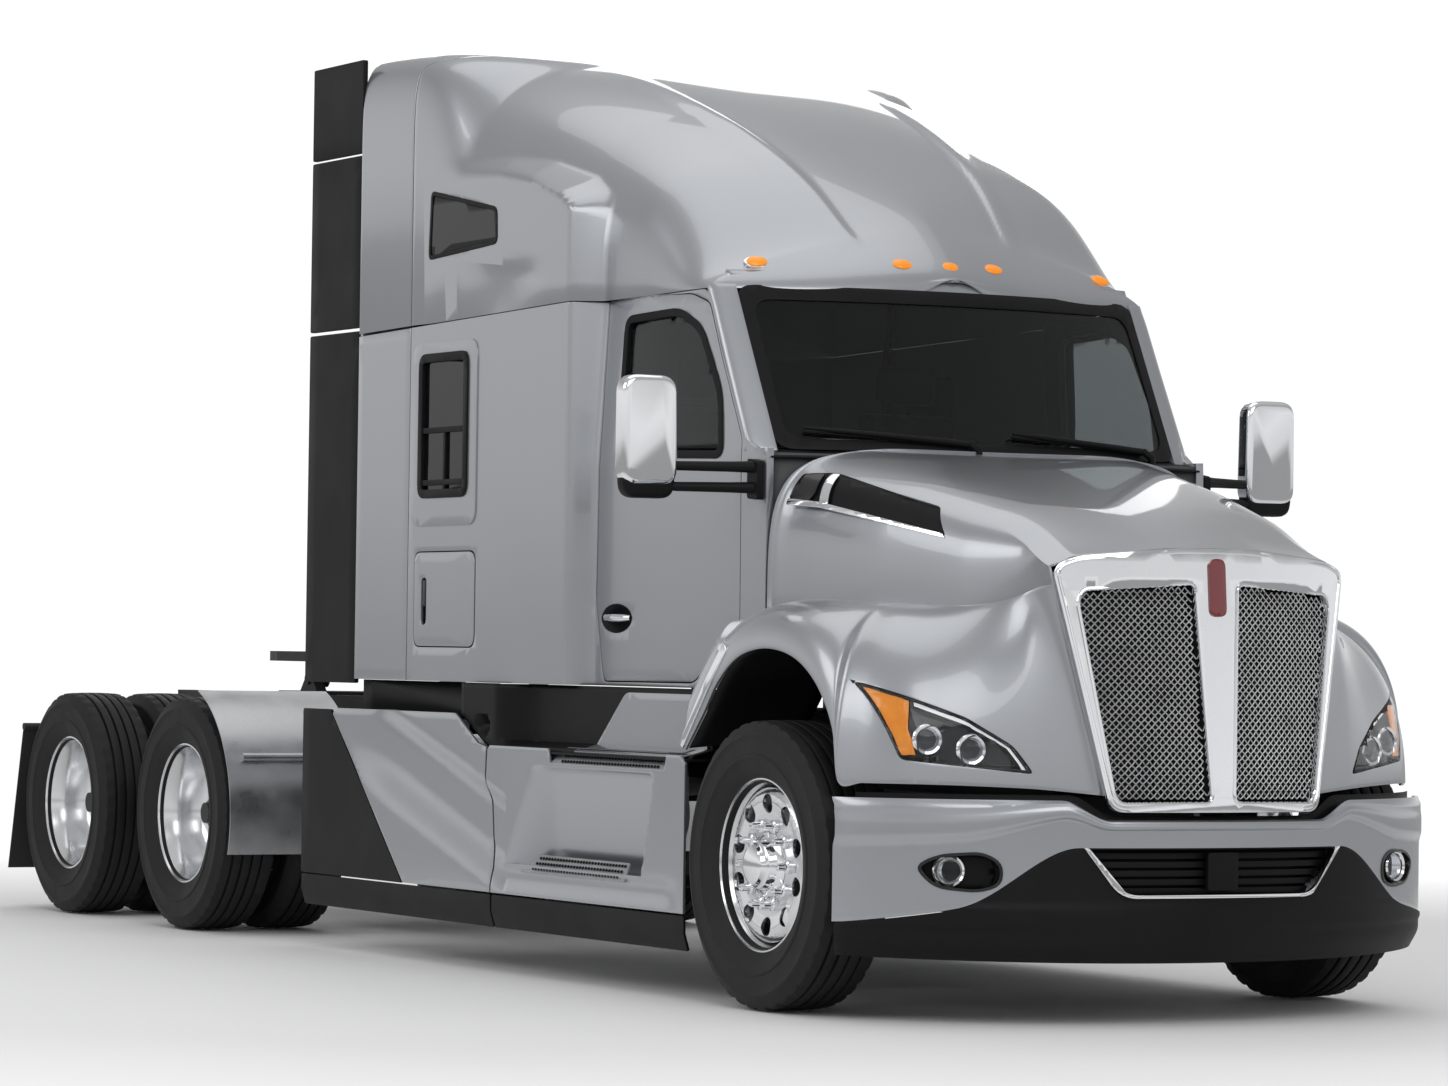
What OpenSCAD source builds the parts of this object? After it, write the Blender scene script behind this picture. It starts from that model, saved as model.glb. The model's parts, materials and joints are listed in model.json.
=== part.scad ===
// Conventional sleeper-cab tractor unit with a 6x4 wheel plan.
// Sizes are in millimetres. X is the width (+X is the driver's side), Z is up.
// Modules are drawn with Y counted rearwards from the bumper's nose, and placed() centres them.

/* [Overall] */
// Length from the bumper's nose to the mud flaps
overall_l = 8360; // [8300:10:8600]
// Nose to front axle
front_overhang = 1117; // [1100:1:1130]
// Front axle to first drive axle
wheelbase = 5128; // [5100:1:5200]
// Distance between the two drive axles
tandem_l = 1380; // [1300:5:1420]

/* [Tyres and rims] */
// Tyre outer radius
tyre_r = 510; // [480:1:515]
// Tyre width at its bulge
tyre_w = 290; // [260:1:300]
// Tyre bead radius
bead_r = 294; // [290:1:300]
// Half the distance between the front tyres' middles
front_track_x = 1092; // [1085:1:1100]
// Middle of a dual pair from the centreline
dual_x = 967; // [960:1:975]
// Distance between the two tyres of a dual pair
dual_pitch = 343; // [330:1:350]

/* [Chassis frame] */
// Outside half width over the rails
rail_x = 430; // [420:1:440]
// Rail height
rail_h = 270; // [240:5:280]
// Rail flange width
rail_flange = 85; // [70:1:95]
// Rail wall
rail_t = 9; // [6:0.5:12]
// Top of the rails above the ground
rail_top = 1030; // [1000:5:1040]

/* [Cab] */
// Half width of the cab at the rear edge of its doors
cab_x = 1030; // [1010:5:1050]
// Half width of the sleeper
sleeper_x = 1140; // [1100:5:1150]
// Underside of the cab floor
cab_z = 1120; // [1110:5:1130]
// Height of the roof seam at the windscreen
seam_z = 2600; // [2580:5:2620]
// Height of the roof at its rear edge
roof_z = 3715; // [3600:5:3750]
// Rear face of the sleeper
sleeper_end = 4700; // [4600:10:4720]
// Length of the side extenders
extender_l = 510; // [400:10:540]
// Door and cab wall thickness
wall_t = 60; // [40:1:70]
// Gap around the doors and the hood
shut_gap = 10; // [8:1:14]

/* [Hood and bumper] */
// Thickness of the moulded panels
skin_t = 12; // [8:1:16]
// Half width of the bumper
bumper_x = 1225; // [1200:5:1240]
// How far the bumper's ends wrap back
bumper_wrap = 560; // [520:5:580]
// Height of the grille opening's foot
grille_foot = 760; // [750:1:780]

/* [Skirts] */
// Half width over the skirts
skirt_x = 1200; // [1190:1:1210]
// Ground clearance under the skirts
skirt_z = 170; // [150:5:220]
// Depth of the step recesses
step_depth = 105; // [60:5:115]

/* [Fits] */
// Radial clearance of a turning fit
run_gap = 0.05; // [0.02:0.01:0.09]
// Gap between parts that rest on each other
seat_gap = 0.3; // [0.2:0.05:0.5]
// Radius of a trailer's kingpin
kingpin_r = 25.4; // [25.4:0.1:44.5]
// Radial clearance round the kingpin
kingpin_gap = 0.5; // [0.3:0.1:0.8]

/* [Hidden] */
$fn = 48;

front_y = front_overhang;
drive1_y = front_overhang + wheelbase;
drive2_y = drive1_y + tandem_l;
axle_z = tyre_r;
spindle_r = 45;
kingpin_x = front_track_x - 132;
axle_pin_r = 25;
tie_arm_l = 200;
tie_z = axle_z - 65;
tie_pin_r = 12;
rail_end = overall_l - 60;
rail_z = rail_top - rail_h;
hinge_y = 102;
hinge_z = 790;
hinge_r = 12;
hinge_arm_x = 200;
door_front = 1723;
door_rear = 2738;
door_pin_x = 945;
door_pin_y = door_front + 30;
door_pin_r = 7;
door_hinge_z = [1430, 1800];
bay_front = 3568;
bay_rear = 4127;
bay_z = [1260, 1636];
bay_t = 28;
bay_pin_r = 5;
fifth_y = 6850;
fifth_pin_z = 1100;
fifth_pin_r = 25;
plate_z = [1180, 1225];
sleeper_split = 4195;
lower_window = [[4080, 2423], [3653, 2423], [3653, 1865], [4080, 1865]];
upper_window = [[4019, 3090], [3421, 2984], [3416, 2846], [4037, 2817]];
paint = [0.66, 0.67, 0.70];
black = [0.08, 0.08, 0.09];
chrome = [0.85, 0.85, 0.87];
steel = [0.30, 0.30, 0.32];

// ---- helpers ----
module placed() translate([0, -overall_l / 2, 0]) children();
module mirrored() { children(); mirror([1, 0, 0]) children(); }
module mirror_if(right) { if (right) mirror([1, 0, 0]) children(); else children(); }
// Extrudes a side-view outline of (y, z) points between two X planes.
module side_prism(x0, x1, outline, inset = 0)
    translate([x0, 0, 0]) rotate([90, 0, 90]) linear_extrude(x1 - x0) inset_outline(outline, inset);
module inset_outline(outline, inset) if (inset == 0) polygon(outline); else offset(delta = -inset) polygon(outline);
// Extrudes a front-view outline of (x, z) points between two Y planes.
module front_prism(y0, y1, outline, inset = 0)
    translate([0, y1, 0]) rotate([90, 0, 0]) linear_extrude(y1 - y0) inset_outline(outline, inset);
module block(x, y, z) translate([x[0], y[0], z[0]]) cube([x[1] - x[0], y[1] - y[0], z[1] - z[0]]);
module x_rod(r, x0, x1, y, z) translate([x0, y, z]) rotate([0, 90, 0]) cylinder(r = r, h = x1 - x0);
module y_rod(r, y0, y1, x, z) translate([x, y1, z]) rotate([90, 0, 0]) cylinder(r = r, h = y1 - y0);
module z_rod(r, z0, z1, x, y) translate([x, y, z0]) cylinder(r = r, h = z1 - z0);
function clamp01(t) = max(0, min(1, t));
function smooth(t) = let(c = clamp01(t)) c * c * (3 - 2 * c);
function mix(a, b, t) = a + (b - a) * t;

// A closed wall between two grids of points with the same rows and columns.
module wall_between(outer, inner) {
    rows = len(outer);
    cols = len(outer[0]);
    n = rows * cols;
    along = outer[0][1] - outer[0][0];
    across = outer[1][0] - outer[0][0];
    flip = cross(along, across) * (outer[0][0] - inner[0][0]) > 0;
    function a(i, j) = i * cols + j;
    function b(i, j) = n + i * cols + j;
    function strip(p, q, r, s) = [[p, q, r], [p, r, s]];
    last_i = rows - 1;
    last_j = cols - 1;
    faces = concat(
        [for (i = [0:rows - 2], j = [0:cols - 2]) each strip(a(i, j), a(i, j + 1), a(i + 1, j + 1), a(i + 1, j))],
        [for (i = [0:rows - 2], j = [0:cols - 2]) each strip(b(i, j), b(i + 1, j), b(i + 1, j + 1), b(i, j + 1))],
        [for (j = [0:cols - 2]) each strip(a(0, j), b(0, j), b(0, j + 1), a(0, j + 1))],
        [for (j = [0:cols - 2]) each strip(a(last_i, j + 1), b(last_i, j + 1), b(last_i, j), a(last_i, j))],
        [for (i = [0:rows - 2]) each strip(a(i + 1, 0), b(i + 1, 0), b(i, 0), a(i, 0))],
        [for (i = [0:rows - 2]) each strip(a(i, last_j), b(i, last_j), b(i + 1, last_j), a(i + 1, last_j))]);
    polyhedron([for (r = outer) each r, for (r = inner) each r],
        [for (f = faces) flip ? [f[2], f[1], f[0]] : f]);
}

// ---- body surfaces ----
// Half width of the cab and sleeper side at a place.
function cab_plan(y) = cab_x - (cab_x - 965) * pow(max(0, (2730 - y) / 1010), 1.5);
function lean(z) = 0.06 * max(0, z - 1970);
function side_half(y, z) = let(t = smooth((y - 2735) / 60)) mix(cab_plan(y) - lean(z), sleeper_x, t);
function seam(y) = seam_z - 0.022 * (y - 2040);
// Windscreen and cowl lines across the cab.
function screen_y(x, z) = 1500 + 0.534 * (z - 2020) + 150 * pow(abs(x) / 855, 2);
function cowl_y(x) = 1475 + 85 * pow(x / 950, 2);
// Roof: centre height, half width and a section between them.
roof_front = 1835;
function roof_mid(y) = let(t = (y - roof_front) / (sleeper_end - roof_front)) 2665 + (roof_z - 2665) * pow(1 - pow(1 - t, 2), 0.79);
function roof_half(y) = y < 2005 ? side_half(2005, 2600) * pow((y - 1825) / 180, 0.4) : side_half(y, seam(y));
// Exponent of the roof's section: soft over the windscreen, squarer to the rear.
function roof_power(y) = 1.4 + 2 * smooth((y - 2000) / 500) + 1.6 * clamp01((y - 2900) / 1800)
    + 9 * smooth((y - 3700) / 500);
function roof_point(y, a, inset) = let(w = roof_half(y) - inset, z0 = seam(max(y, 2040)), h = roof_mid(y) - inset - z0,
    c = cos(a), s = sin(a), e = 2 / roof_power(y)) [sign(c) * w * pow(abs(c), e), y, z0 + h * pow(abs(s), e)];
function roof_rows(ys, inset, a0 = 0, a1 = 180, n = 28) =
    [for (y = ys) [for (i = [0:n]) roof_point(y, a0 + (a1 - a0) * i / n, inset)]];
// Hood: half width, centre height and section.
function hood_half(y) = 610 + 0.245 * (y - 180);
function hood_mid(y) = 1652 + 0.31 * (y - 130) - 0.00004 * pow(y - 130, 2);
hood_base_z = 1270;
function hood_point(y, a, inset) = let(x = (hood_half(y) - inset) * pow(abs(cos(a)), 0.36),
    front = y < 400 ? 0.00012 * x * x : 0, at_y = min(y + front, cowl_y(x) - shut_gap),
    h = hood_mid(at_y) - inset - hood_base_z) [sign(cos(a)) * x, at_y, hood_base_z + h * pow(abs(sin(a)), 0.36)];
function grille_y(x, z) = 21 + 0.0775 * (z - 763) + 0.00028 * x * x;
grille_t = 40;
function bumper_y(x) = bumper_wrap * (1 - pow(max(0, 1 - pow(min(1, abs(x) / bumper_x), 2.2)), 0.75));
function bumper_top(x) = 702 + 66 * smooth((abs(x) - 430) / 170);
function bumper_foot(x) = 608 - 215 * smooth((abs(x) - 540) / 420) - 50 * clamp01((abs(x) - 940) / 280);

// Fender net: foot x, y, z, crest z, and the y and z where it meets the hood's side.
fender_net = [[465, 112, 790, 1150, 235, 1500], [660, 185, 805, 1190, 300, 1470], [835, 285, 812, 1230, 430, 1440],
    [960, 360, 815, 1280, 560, 1430], [1060, 430, 816, 1330, 680, 1430], [1140, 520, 816, 1380, 780, 1435],
    [1185, 610, 816, 1410, 860, 1440], [1195, 640, 1000, 1430, 900, 1440], [1200, 740, 1145, 1460, 960, 1440],
    [1200, 900, 1238, 1490, 1050, 1435], [1200, 1100, 1270, 1500, 1180, 1425], [1200, 1300, 1240, 1470, 1320, 1400],
    [1200, 1450, 1150, 1420, 1450, 1370], [1200, 1560, 1030, 1350, 1560, 1310], [1200, 1690, 900, 1200, 1640, 1230]];
function fender_top_x(y) = y < 1455 ? hood_half(y) + 0.5 : 1055;
function fender_row(f, shift, n = 6) = [for (i = [0:n]) let(v = i / n, foot = [f[0], f[1], f[2]],
    crest = [f[0], f[1] + 20, f[3]], top = [fender_top_x(f[4]), f[4], f[5]])
    foot * pow(1 - v, 2) + crest * 2 * v * (1 - v) + top * v * v + shift];
module fender_skin(near, far) wall_between([for (f = fender_net) fender_row(f, [-near, 0.8 * near, -near])],
    [for (f = fender_net) fender_row(f, [-far, 0.8 * far, -far])]);

// ---- chassis ----
module frame_rail() difference() {
    block([rail_x - rail_flange, rail_x], [420, rail_end], [rail_z, rail_top]);
    block([rail_x - rail_flange - 1, rail_x - rail_t], [419, rail_end + 1], [rail_z + rail_t, rail_top - rail_t]);
    for (y = [rail_end - 160, rail_end - 60], z = [rail_top - 185, rail_top - 85])
        x_rod(8.5, rail_x - 20, rail_x + 20, y, z);
}
module outrigger(y, z) {
    block([rail_x, rail_x + 50], [y, y + 60], [z, rail_top - 60]);
    block([rail_x, skirt_x - skin_t - seat_gap], [y, y + 60], [z, z + 50]);
}
module hinge_arm() difference() {
    union() {
        side_prism(hinge_arm_x - 12, hinge_arm_x + 12, [[hinge_y, hinge_z - 20], [hinge_y, hinge_z + 20],
            [430, rail_z + 95], [430, rail_z + 20]]);
        x_rod(26, hinge_arm_x - 12, hinge_arm_x + 12, hinge_y, hinge_z);
    }
    x_rod(hinge_r + run_gap, hinge_arm_x - 20, hinge_arm_x + 20, hinge_y, hinge_z);
}
module frame() color(steel) placed() {
    mirrored() {
        frame_rail();
        for (y = [1850, 2720]) outrigger(y, 345);
        for (y = [4480, 4960]) outrigger(y, 600);
        hinge_arm();
        block([rail_x - 55, rail_x - 5], [200 + seat_gap, 440], [500, 600]);
        block([rail_x - 55, rail_x - 5], [425, 465], [500, rail_z + 10]);
        for (y = [1780, 4500]) z_rod(40, rail_top - 1, cab_z - seat_gap, rail_x - 45, y);
    }
    web = rail_x - rail_t - seat_gap;
    block([-web, web], [430, 500], [rail_z + rail_t + 2, rail_z + 110]);
    for (y = [3000, 4300, 5560, 6935, 7980]) x_rod(45, -web, web, y, rail_top - 80);
    block([-web, web], [rail_end - 20, rail_end], [rail_z + 40, rail_z + 180]);
    block([-rail_x + 10, rail_x - 10], [5260, 6150], [rail_top + seat_gap, rail_top + 6]);
}
module leaf_pack() {
    sag = 2600;
    translate([rail_x - 80, front_y, 0]) rotate([90, 0, 90]) linear_extrude(80) intersection() {
        difference() {
            translate([0, axle_z - 25 + sag + 40]) circle(sag + 40, $fn = 180);
            translate([0, axle_z - 25 + sag + 40]) circle(sag, $fn = 180);
        }
        translate([-640, 400]) square([1280, 300]);
    }
    for (y = [front_y - 620, front_y + 600]) block([rail_x - 80, rail_x], [y, y + 30], [axle_z + 70, rail_z - seat_gap]);
}
module front_axle() color(steel) placed() difference() {
    union() {
        front_prism(front_y - 45, front_y + 45, [[-kingpin_x, 460], [-720, 400], [720, 400], [kingpin_x, 460],
            [kingpin_x, 560], [700, 500], [-700, 500], [-kingpin_x, 560]]);
        mirrored() {
            z_rod(55, axle_z - 75, axle_z + 75, kingpin_x, front_y);
            leaf_pack();
        }
    }
    mirrored() z_rod(axle_pin_r + run_gap, 300, 700, kingpin_x, front_y);
}
module knuckle(right) color(steel) placed() mirror_if(right) {
    z_rod(axle_pin_r, axle_z - 120, axle_z + 120, kingpin_x, front_y);
    for (z = [axle_z - 120, axle_z + 81]) {
        z_rod(50, z, z + 39, kingpin_x, front_y);
        block([kingpin_x, kingpin_x + 80], [front_y - 45, front_y + 45], [z, z + 39]);
    }
    block([kingpin_x + 58, kingpin_x + 84], [front_y - 60, front_y + 60], [axle_z - 120, axle_z + 120]);
    x_rod(spindle_r, kingpin_x + 80, front_track_x + 90, front_y, axle_z);
    block([kingpin_x - 22, kingpin_x + 22], [front_y, front_y + tie_arm_l], [axle_z - 115, tie_z - 22]);
    z_rod(22, axle_z - 115, tie_z - 22, kingpin_x, front_y + tie_arm_l);
    z_rod(tie_pin_r, tie_z - 30, tie_z + 26, kingpin_x, front_y + tie_arm_l);
}
module knuckle_left() knuckle(false);
module knuckle_right() knuckle(true);
open_eye_gap = 2;
module tie_rod() color(steel) placed() difference() {
    union() {
        x_rod(18, -kingpin_x, kingpin_x, front_y + tie_arm_l, tie_z);
        for (x = [-kingpin_x, kingpin_x]) z_rod(24, tie_z - 20, tie_z + 20, x, front_y + tie_arm_l);
    }
    z_rod(tie_pin_r + run_gap, tie_z - 40, tie_z + 40, kingpin_x, front_y + tie_arm_l);
    z_rod(tie_pin_r + open_eye_gap, tie_z - 40, tie_z + 40, -kingpin_x, front_y + tie_arm_l);
}
module drive_axle(y) {
    x_rod(70, -870, 870, y, axle_z);
    mirrored() x_rod(spindle_r, 860, dual_x + 180, y, axle_z);
    x_rod(200, -140, 140, y, axle_z);
    y_rod(80, y - 300, y, 0, axle_z);
}
module drive_axles() color(steel) placed() { drive_axle(drive1_y); drive_axle(drive2_y); }
module trailing_arm(y) {
    side_prism(rail_x - 75, rail_x - 15, [[y - 480, 560], [y - 480, 640], [y - 400, 640], [y - 110, axle_z - 70.3],
        [y + 110, axle_z - 70.3], [y + 200, 500], [y + 400, 500], [y + 400, 440], [y + 150, 360], [y - 150, 360]]);
    z_rod(120, 499, rail_z - seat_gap, rail_x - 45, y + 300);
    block([rail_x - 85, rail_x - 5], [y - 500, y - 380], [600, rail_z - seat_gap]);
}
module rear_suspension() color(black) placed() mirrored() { trailing_arm(drive1_y); trailing_arm(drive2_y); }
module engine() color(steel) placed() {
    block([-300, 300], [640, 1440], [600, 1480]);
    mirrored() for (y = [760, 1260]) block([299, rail_x - rail_t - seat_gap], [y, y + 120], [rail_z + 60, rail_top - 70]);
}
module driveline() color(steel) placed() {
    difference() {
        union() {
            y_rod(220, 1440 + seat_gap, 2600, 0, 840);
            block([-330, 330], [2380, 2480], [900, 960]);
            mirrored() block([329, rail_x - rail_t - seat_gap], [2380, 2480], [900, 960]);
        }
    }
    shaft([0, 2661, 820], [0, drive1_y - 361, axle_z]);
    y_rod(45, drive1_y + 200 + seat_gap, drive2_y - 300 - seat_gap, 0, axle_z);
}
module shaft(p, q) {
    d = q - p;
    translate(p) rotate([-90 - atan2(-d[2], d[1]), 0, 0]) cylinder(r = 42, h = norm(d));
    translate(p) sphere(r = 60);
    translate(q) sphere(r = 60);
}
module radiator() color([0.2, 0.2, 0.21]) placed()
    block([-rail_x, rail_x], [520, 600], [rail_top + seat_gap, 1500]);
tank_r = 280;
module fuel_tanks() color(chrome) placed() mirrored() difference() {
    union() {
        y_rod(tank_r, 2960, 4330, 770, 620);
        for (y = [3080, 4100]) block([rail_x + seat_gap, 760], [y, y + 60], [620, rail_top - 40]);
    }
    for (y = [3080, 4100]) block([760, 800], [y - 1, y + 61], [910, rail_top]);
}
module rim_band(h, face) {
    // Barrel of a single rim whose middle is at height h.
    translate([0, 0, h]) rotate_extrude($fn = 96) polygon([[bead_r + 18, 115], [bead_r + 18, 106], [bead_r - seat_gap, 103],
        [bead_r - seat_gap, 60], [bead_r - 19, 40], [bead_r - 19, -40], [bead_r - seat_gap, -60], [bead_r - seat_gap, -103],
        [bead_r + 18, -106], [bead_r + 18, -115], [bead_r + 6, -115], [bead_r - 14, -98], [bead_r - 14, -55],
        [bead_r - 31, -36], [bead_r - 31, 36], [bead_r - 14, 55], [bead_r - 14, 98], [bead_r + 6, 115]]);
}
// Half section of a tyre, its middle at height zero.
function tyre_outline() = let(w = tyre_w / 2, mid = (tyre_r + bead_r) / 2) concat(
    [[bead_r, -w + 44], [bead_r + 21, -w + 41]], [for (a = [-70:20:50]) [mid + 10 + 85 * sin(a), -w + 85 * (1 - cos(a)) * 0.5]],
    [[tyre_r - 8, -w + 28], [tyre_r, -w + 45], [tyre_r, w - 45], [tyre_r - 8, w - 28]],
    [for (a = [50:-20:-70]) [mid + 10 + 85 * sin(a), w - 85 * (1 - cos(a)) * 0.5]], [[bead_r + 21, w - 41], [bead_r, w - 44]]);
module tyre(h) translate([0, 0, h]) rotate_extrude($fn = 120) polygon(tyre_outline());
module on_axle(x, y, right) placed() mirror_if(right) translate([x, y, axle_z]) rotate([0, 90, 0]) children();
module front_rim(right) color(chrome) on_axle(front_track_x, front_y, right) {
    rim_band(0);
    difference() {
        rotate_extrude($fn = 96) polygon([[spindle_r + run_gap, -38], [115, -38], [115, -20], [200, -20], [200, -58],
            [212, -58], [212, -6], [115, -6], [115, 62], [bead_r - 10, 58], [bead_r - 10, 72], [150, 84], [112, 96],
            [80, 100], [74, 148], [0, 154], [0, 95], [spindle_r + run_gap, 95]]);
        for (i = [0:9]) rotate([0, 0, i * 36 + 18]) translate([222, 0, 40]) cylinder(r = 31, h = 60);
    }
}
module front_tyre(right) color(black) on_axle(front_track_x, front_y, right) tyre(0);
module drive_rim_pair(y, right) color(chrome) on_axle(dual_x, y, right) {
    for (h = [-dual_pitch / 2, dual_pitch / 2]) rim_band(h);
    difference() {
        rotate_extrude($fn = 96) polygon([[spindle_r + run_gap, -80], [205, -80], [205, -190],
            [217, -190], [217, -68], [112, -68], [112, -9], [150, -9], [bead_r - 11, -93], [bead_r - 11, -80],
            [165, 0], [bead_r - 11, 80], [bead_r - 11, 93], [150, 12], [112, 12], [112, 60], [98, 200], [60, 235],
            [0, 240], [0, 185], [spindle_r + run_gap, 185]]);
        for (i = [0:9]) rotate([0, 0, i * 36]) translate([214, 0, -90]) cylinder(r = 24, h = 180);
    }
}
module drive_tyre_pair(y, right) color(black) on_axle(dual_x, y, right)
    for (h = [-dual_pitch / 2, dual_pitch / 2]) tyre(h);

// ---- bumper ----
bumper_u = [for (k = [-14:14]) sign(k) * (1 - pow(1 - abs(k) / 14, 1.8))];
module bumper_band(tops, feet, near, far) wall_between(
    [for (v = [0:3]) [for (u = bumper_u) let(x = u * (bumper_x - near)) [x, bumper_y(x * bumper_x / (bumper_x - near)) + near
        + 25 * pow(v / 3 - 0.4, 2), mix(tops(x), feet(x), v / 3)]]],
    [for (v = [0:3]) [for (u = bumper_u) let(x = u * (bumper_x - far)) [x, bumper_y(x * bumper_x / (bumper_x - far)) + far
        + 25 * pow(v / 3 - 0.4, 2), mix(tops(x), feet(x), v / 3)]]]);
fog_x = 905;
fog_z = 525;
module bumper() color(paint) placed() difference() {
    union() {
        bumper_band(function(x) bumper_top(x), function(x) bumper_foot(x), 0, skin_t);
        mirrored() block([rail_x - 55, rail_x - 5], [48, 200], [615, 660]);
        mirrored() block([rail_x - 55, rail_x - 5], [180, 200], [520, 660]);
    }
    mirrored() y_rod(62 + seat_gap, 100, 400, fog_x, fog_z);
    block([-600, 600], [-100, bumper_y(400) + 8], [600, 601]);
}
intake = [[-518, 603], [518, 603], [388, 447], [-388, 447]];
module bumper_lower() color(black) placed() {
    difference() {
        bumper_band(function(x) bumper_foot(x) - 2, function(x) 212, 2, skin_t + 2);
        front_prism(-50, 200, intake);
    }
    intersection() {
        bumper_band(function(x) 620, function(x) 430, skin_t + 2 + seat_gap, skin_t + 12);
        block([-530, 530], [0, 200], [435, 600]);
    }
    mirrored() block([rail_x - 55, rail_x - 5], [120, 200], [290, 330]);
    mirrored() block([rail_x - 55, rail_x - 5], [180, 200], [300, 505]);
}
module chassis_lamps() color([0.8, 0.3, 0.2]) placed() {
    mirrored() y_rod(62, 225, 320, fog_x, fog_z);
    mirrored() block([300, 340], [rail_end + seat_gap, rail_end + 30], [rail_z + 60, rail_z + 160]);
}

// ---- skirts and rear fenders ----
function over_span(y, y0, y1, soft) = smooth((y - y0) / soft) * smooth((y1 - y) / soft);
function skirt_in(y, z) = step_depth * over_span(y, 2080, 3080, 120) * (z > 428 ? clamp01(1 - (z - 428) / 420) : 0)
    + (step_depth + 15) * over_span(y, 1760, 3300, 160) * (z > 842 ? 1 : 0);
skirt_zs = [308, 426, 429, 480, 560, 640, 720, 800, 840, 843, 880];
module skirt_front(y0, y1) {
    ys = [for (i = [0:16]) mix(y0, y1, i / 16)];
    function row(y, t) = [for (z = skirt_zs) [skirt_x - t - skirt_in(y, z), y, z]];
    wall_between([for (y = ys) row(y, 0)], [for (y = ys) row(y, skin_t)]);
}
skirt_front_y = [1680, 3312];
skirt_rear_end = 5080;
module skirt_panels() color(paint) placed() mirrored() {
    skirt_front(skirt_front_y[0], skirt_front_y[1]);
    side_prism(skirt_x - skin_t, skirt_x, [[3318, 308], [4070, 308], [4775, 975], [3600, 990], [3400, 880], [3318, 872]]);
}
module skirt_trim() color(black) placed() mirrored() {
    side_prism(skirt_x - skin_t, skirt_x, [[1690, skirt_z], [skirt_rear_end, skirt_z], [skirt_rear_end, 990],
        [4800, 990], [4800, 975], [4082, 306], [1690, 306]]);
    block([1040, 1052], [1800, 3420], [880, cab_z - 10]);
    block([1052, skirt_x - skin_t - seat_gap], [3330, 3420], [880, 990]);
    for (y = [2010, 2860]) block([rail_x + seat_gap, 1041], [y, y + 40], [950, 1000]);
}
module steps() color(chrome) placed() mirrored() {
    block([skirt_x - 98, skirt_x - 4], [2220, 2900], [429 + seat_gap, 442]);
    block([skirt_x - 112, skirt_x - 6], [1960, 2700], [843 + seat_gap, 856]);
}
quarter_r = 572;
module quarter_fenders() color(chrome) placed() mirrored() {
    translate([662, drive1_y, axle_z]) rotate([90, 0, 90]) linear_extrude(608) intersection() {
        difference() { circle(quarter_r + 5, $fn = 120); circle(quarter_r, $fn = 120); }
        polygon([[0, 0], [-900, -260], [-900, 900], [-330, 900]]);
    }
    x_rod(19, rail_x + seat_gap, 1200, drive1_y - quarter_r * cos(28) - 26, axle_z + quarter_r * sin(28) - 10);
}
flap_y = overall_l - 180;
module mud_flaps() color(black) placed() mirrored() {
    side_prism(662, 1262, [[flap_y, 845], [flap_y + 8, 845], [overall_l, 175], [overall_l - 8, 175]]);
    x_rod(17, rail_x + seat_gap, 1262, flap_y + 4, 850);
}

// ---- fifth wheel ----
lug_x = [296, 332];
module fifth_wheel_base() color(steel) placed() {
    block([-rail_x, rail_x], [fifth_y - 240, fifth_y + 240], [rail_top + seat_gap, rail_top + 14]);
    mirrored() difference() {
        union() {
            side_prism(lug_x[1] + 5, lug_x[1] + 55, [[fifth_y - 95, rail_top + 12], [fifth_y + 95, rail_top + 12],
                [fifth_y + 44, fifth_pin_z], [fifth_y - 44, fifth_pin_z]]);
            x_rod(45, lug_x[1] + 5, lug_x[1] + 55, fifth_y, fifth_pin_z);
        }
        x_rod(fifth_pin_r + run_gap, lug_x[1] - 10, lug_x[1] + 80, fifth_y, fifth_pin_z);
    }
}
module fifth_wheel() color([0.12, 0.12, 0.13]) placed() difference() {
    union() {
        translate([0, fifth_y, plate_z[0]]) linear_extrude(plate_z[1] - plate_z[0]) difference() {
            intersection() {
                translate([0, 30]) circle(540, $fn = 120);
                polygon([[-460, -440], [460, -440], [460, 200], [400, 460], [-400, 460], [-460, 200]]);
            }
            polygon([[0, 90], [-70, 130], [-210, 470], [210, 470], [70, 130]]);
        }
        mirrored() difference() {
            union() {
                side_prism(lug_x[0], lug_x[1], [[fifth_y - 70, plate_z[0] + 1], [fifth_y + 70, plate_z[0] + 1],
                    [fifth_y + 38, fifth_pin_z], [fifth_y - 38, fifth_pin_z]]);
                x_rod(38, lug_x[0], lug_x[1], fifth_y, fifth_pin_z);
                x_rod(fifth_pin_r, lug_x[0], lug_x[1] + 65, fifth_y, fifth_pin_z);
            }
        }
    }
    z_rod(kingpin_r + kingpin_gap, plate_z[0] - 10, plate_z[1] + 10, 0, fifth_y);
}

// ---- cab ----
function door_outline(g) = [[door_rear + g, 1446], [door_rear - 12 + g, 2030], [door_rear - 10 + g, 2588 + g * 0.6],
    [2480, 2590 + g * 0.6], [2120, 2580 + g], [2000 - g, 2542 + g], [1905 - g, 2355], [door_front + 5 - g, 2030 + 8 * g],
    [door_front - g, 1354 - 4 * g], [2020 - g, cab_z + 22 - g], [2662 + g, cab_z + 20 - g]];
door_window = [[2580, 2512], [2585, 1994], [1850, 1972], [1880, 2209], [2040, 2454], [2200, 2526]];
module body_side(y0, y1, z_low, near, far) {
    ys = [for (y = [y0, 1723, 1900, 2100, 2400, 2650, 2736, 2750, 2765, 2780, 2796, y1]) if (y >= y0 && y <= y1) y];
    function row(y, t) = [for (z = [z_low, 1970, seam(y) - 0.5]) [side_half(y, z) - t, y, z]];
    wall_between([for (y = ys) row(y, near)], [for (y = ys) row(y, far)]);
}
function rect(y0, y1, z0, z1) = [[y0, z0], [y1, z0], [y1, z1], [y0, z1]];
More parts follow.
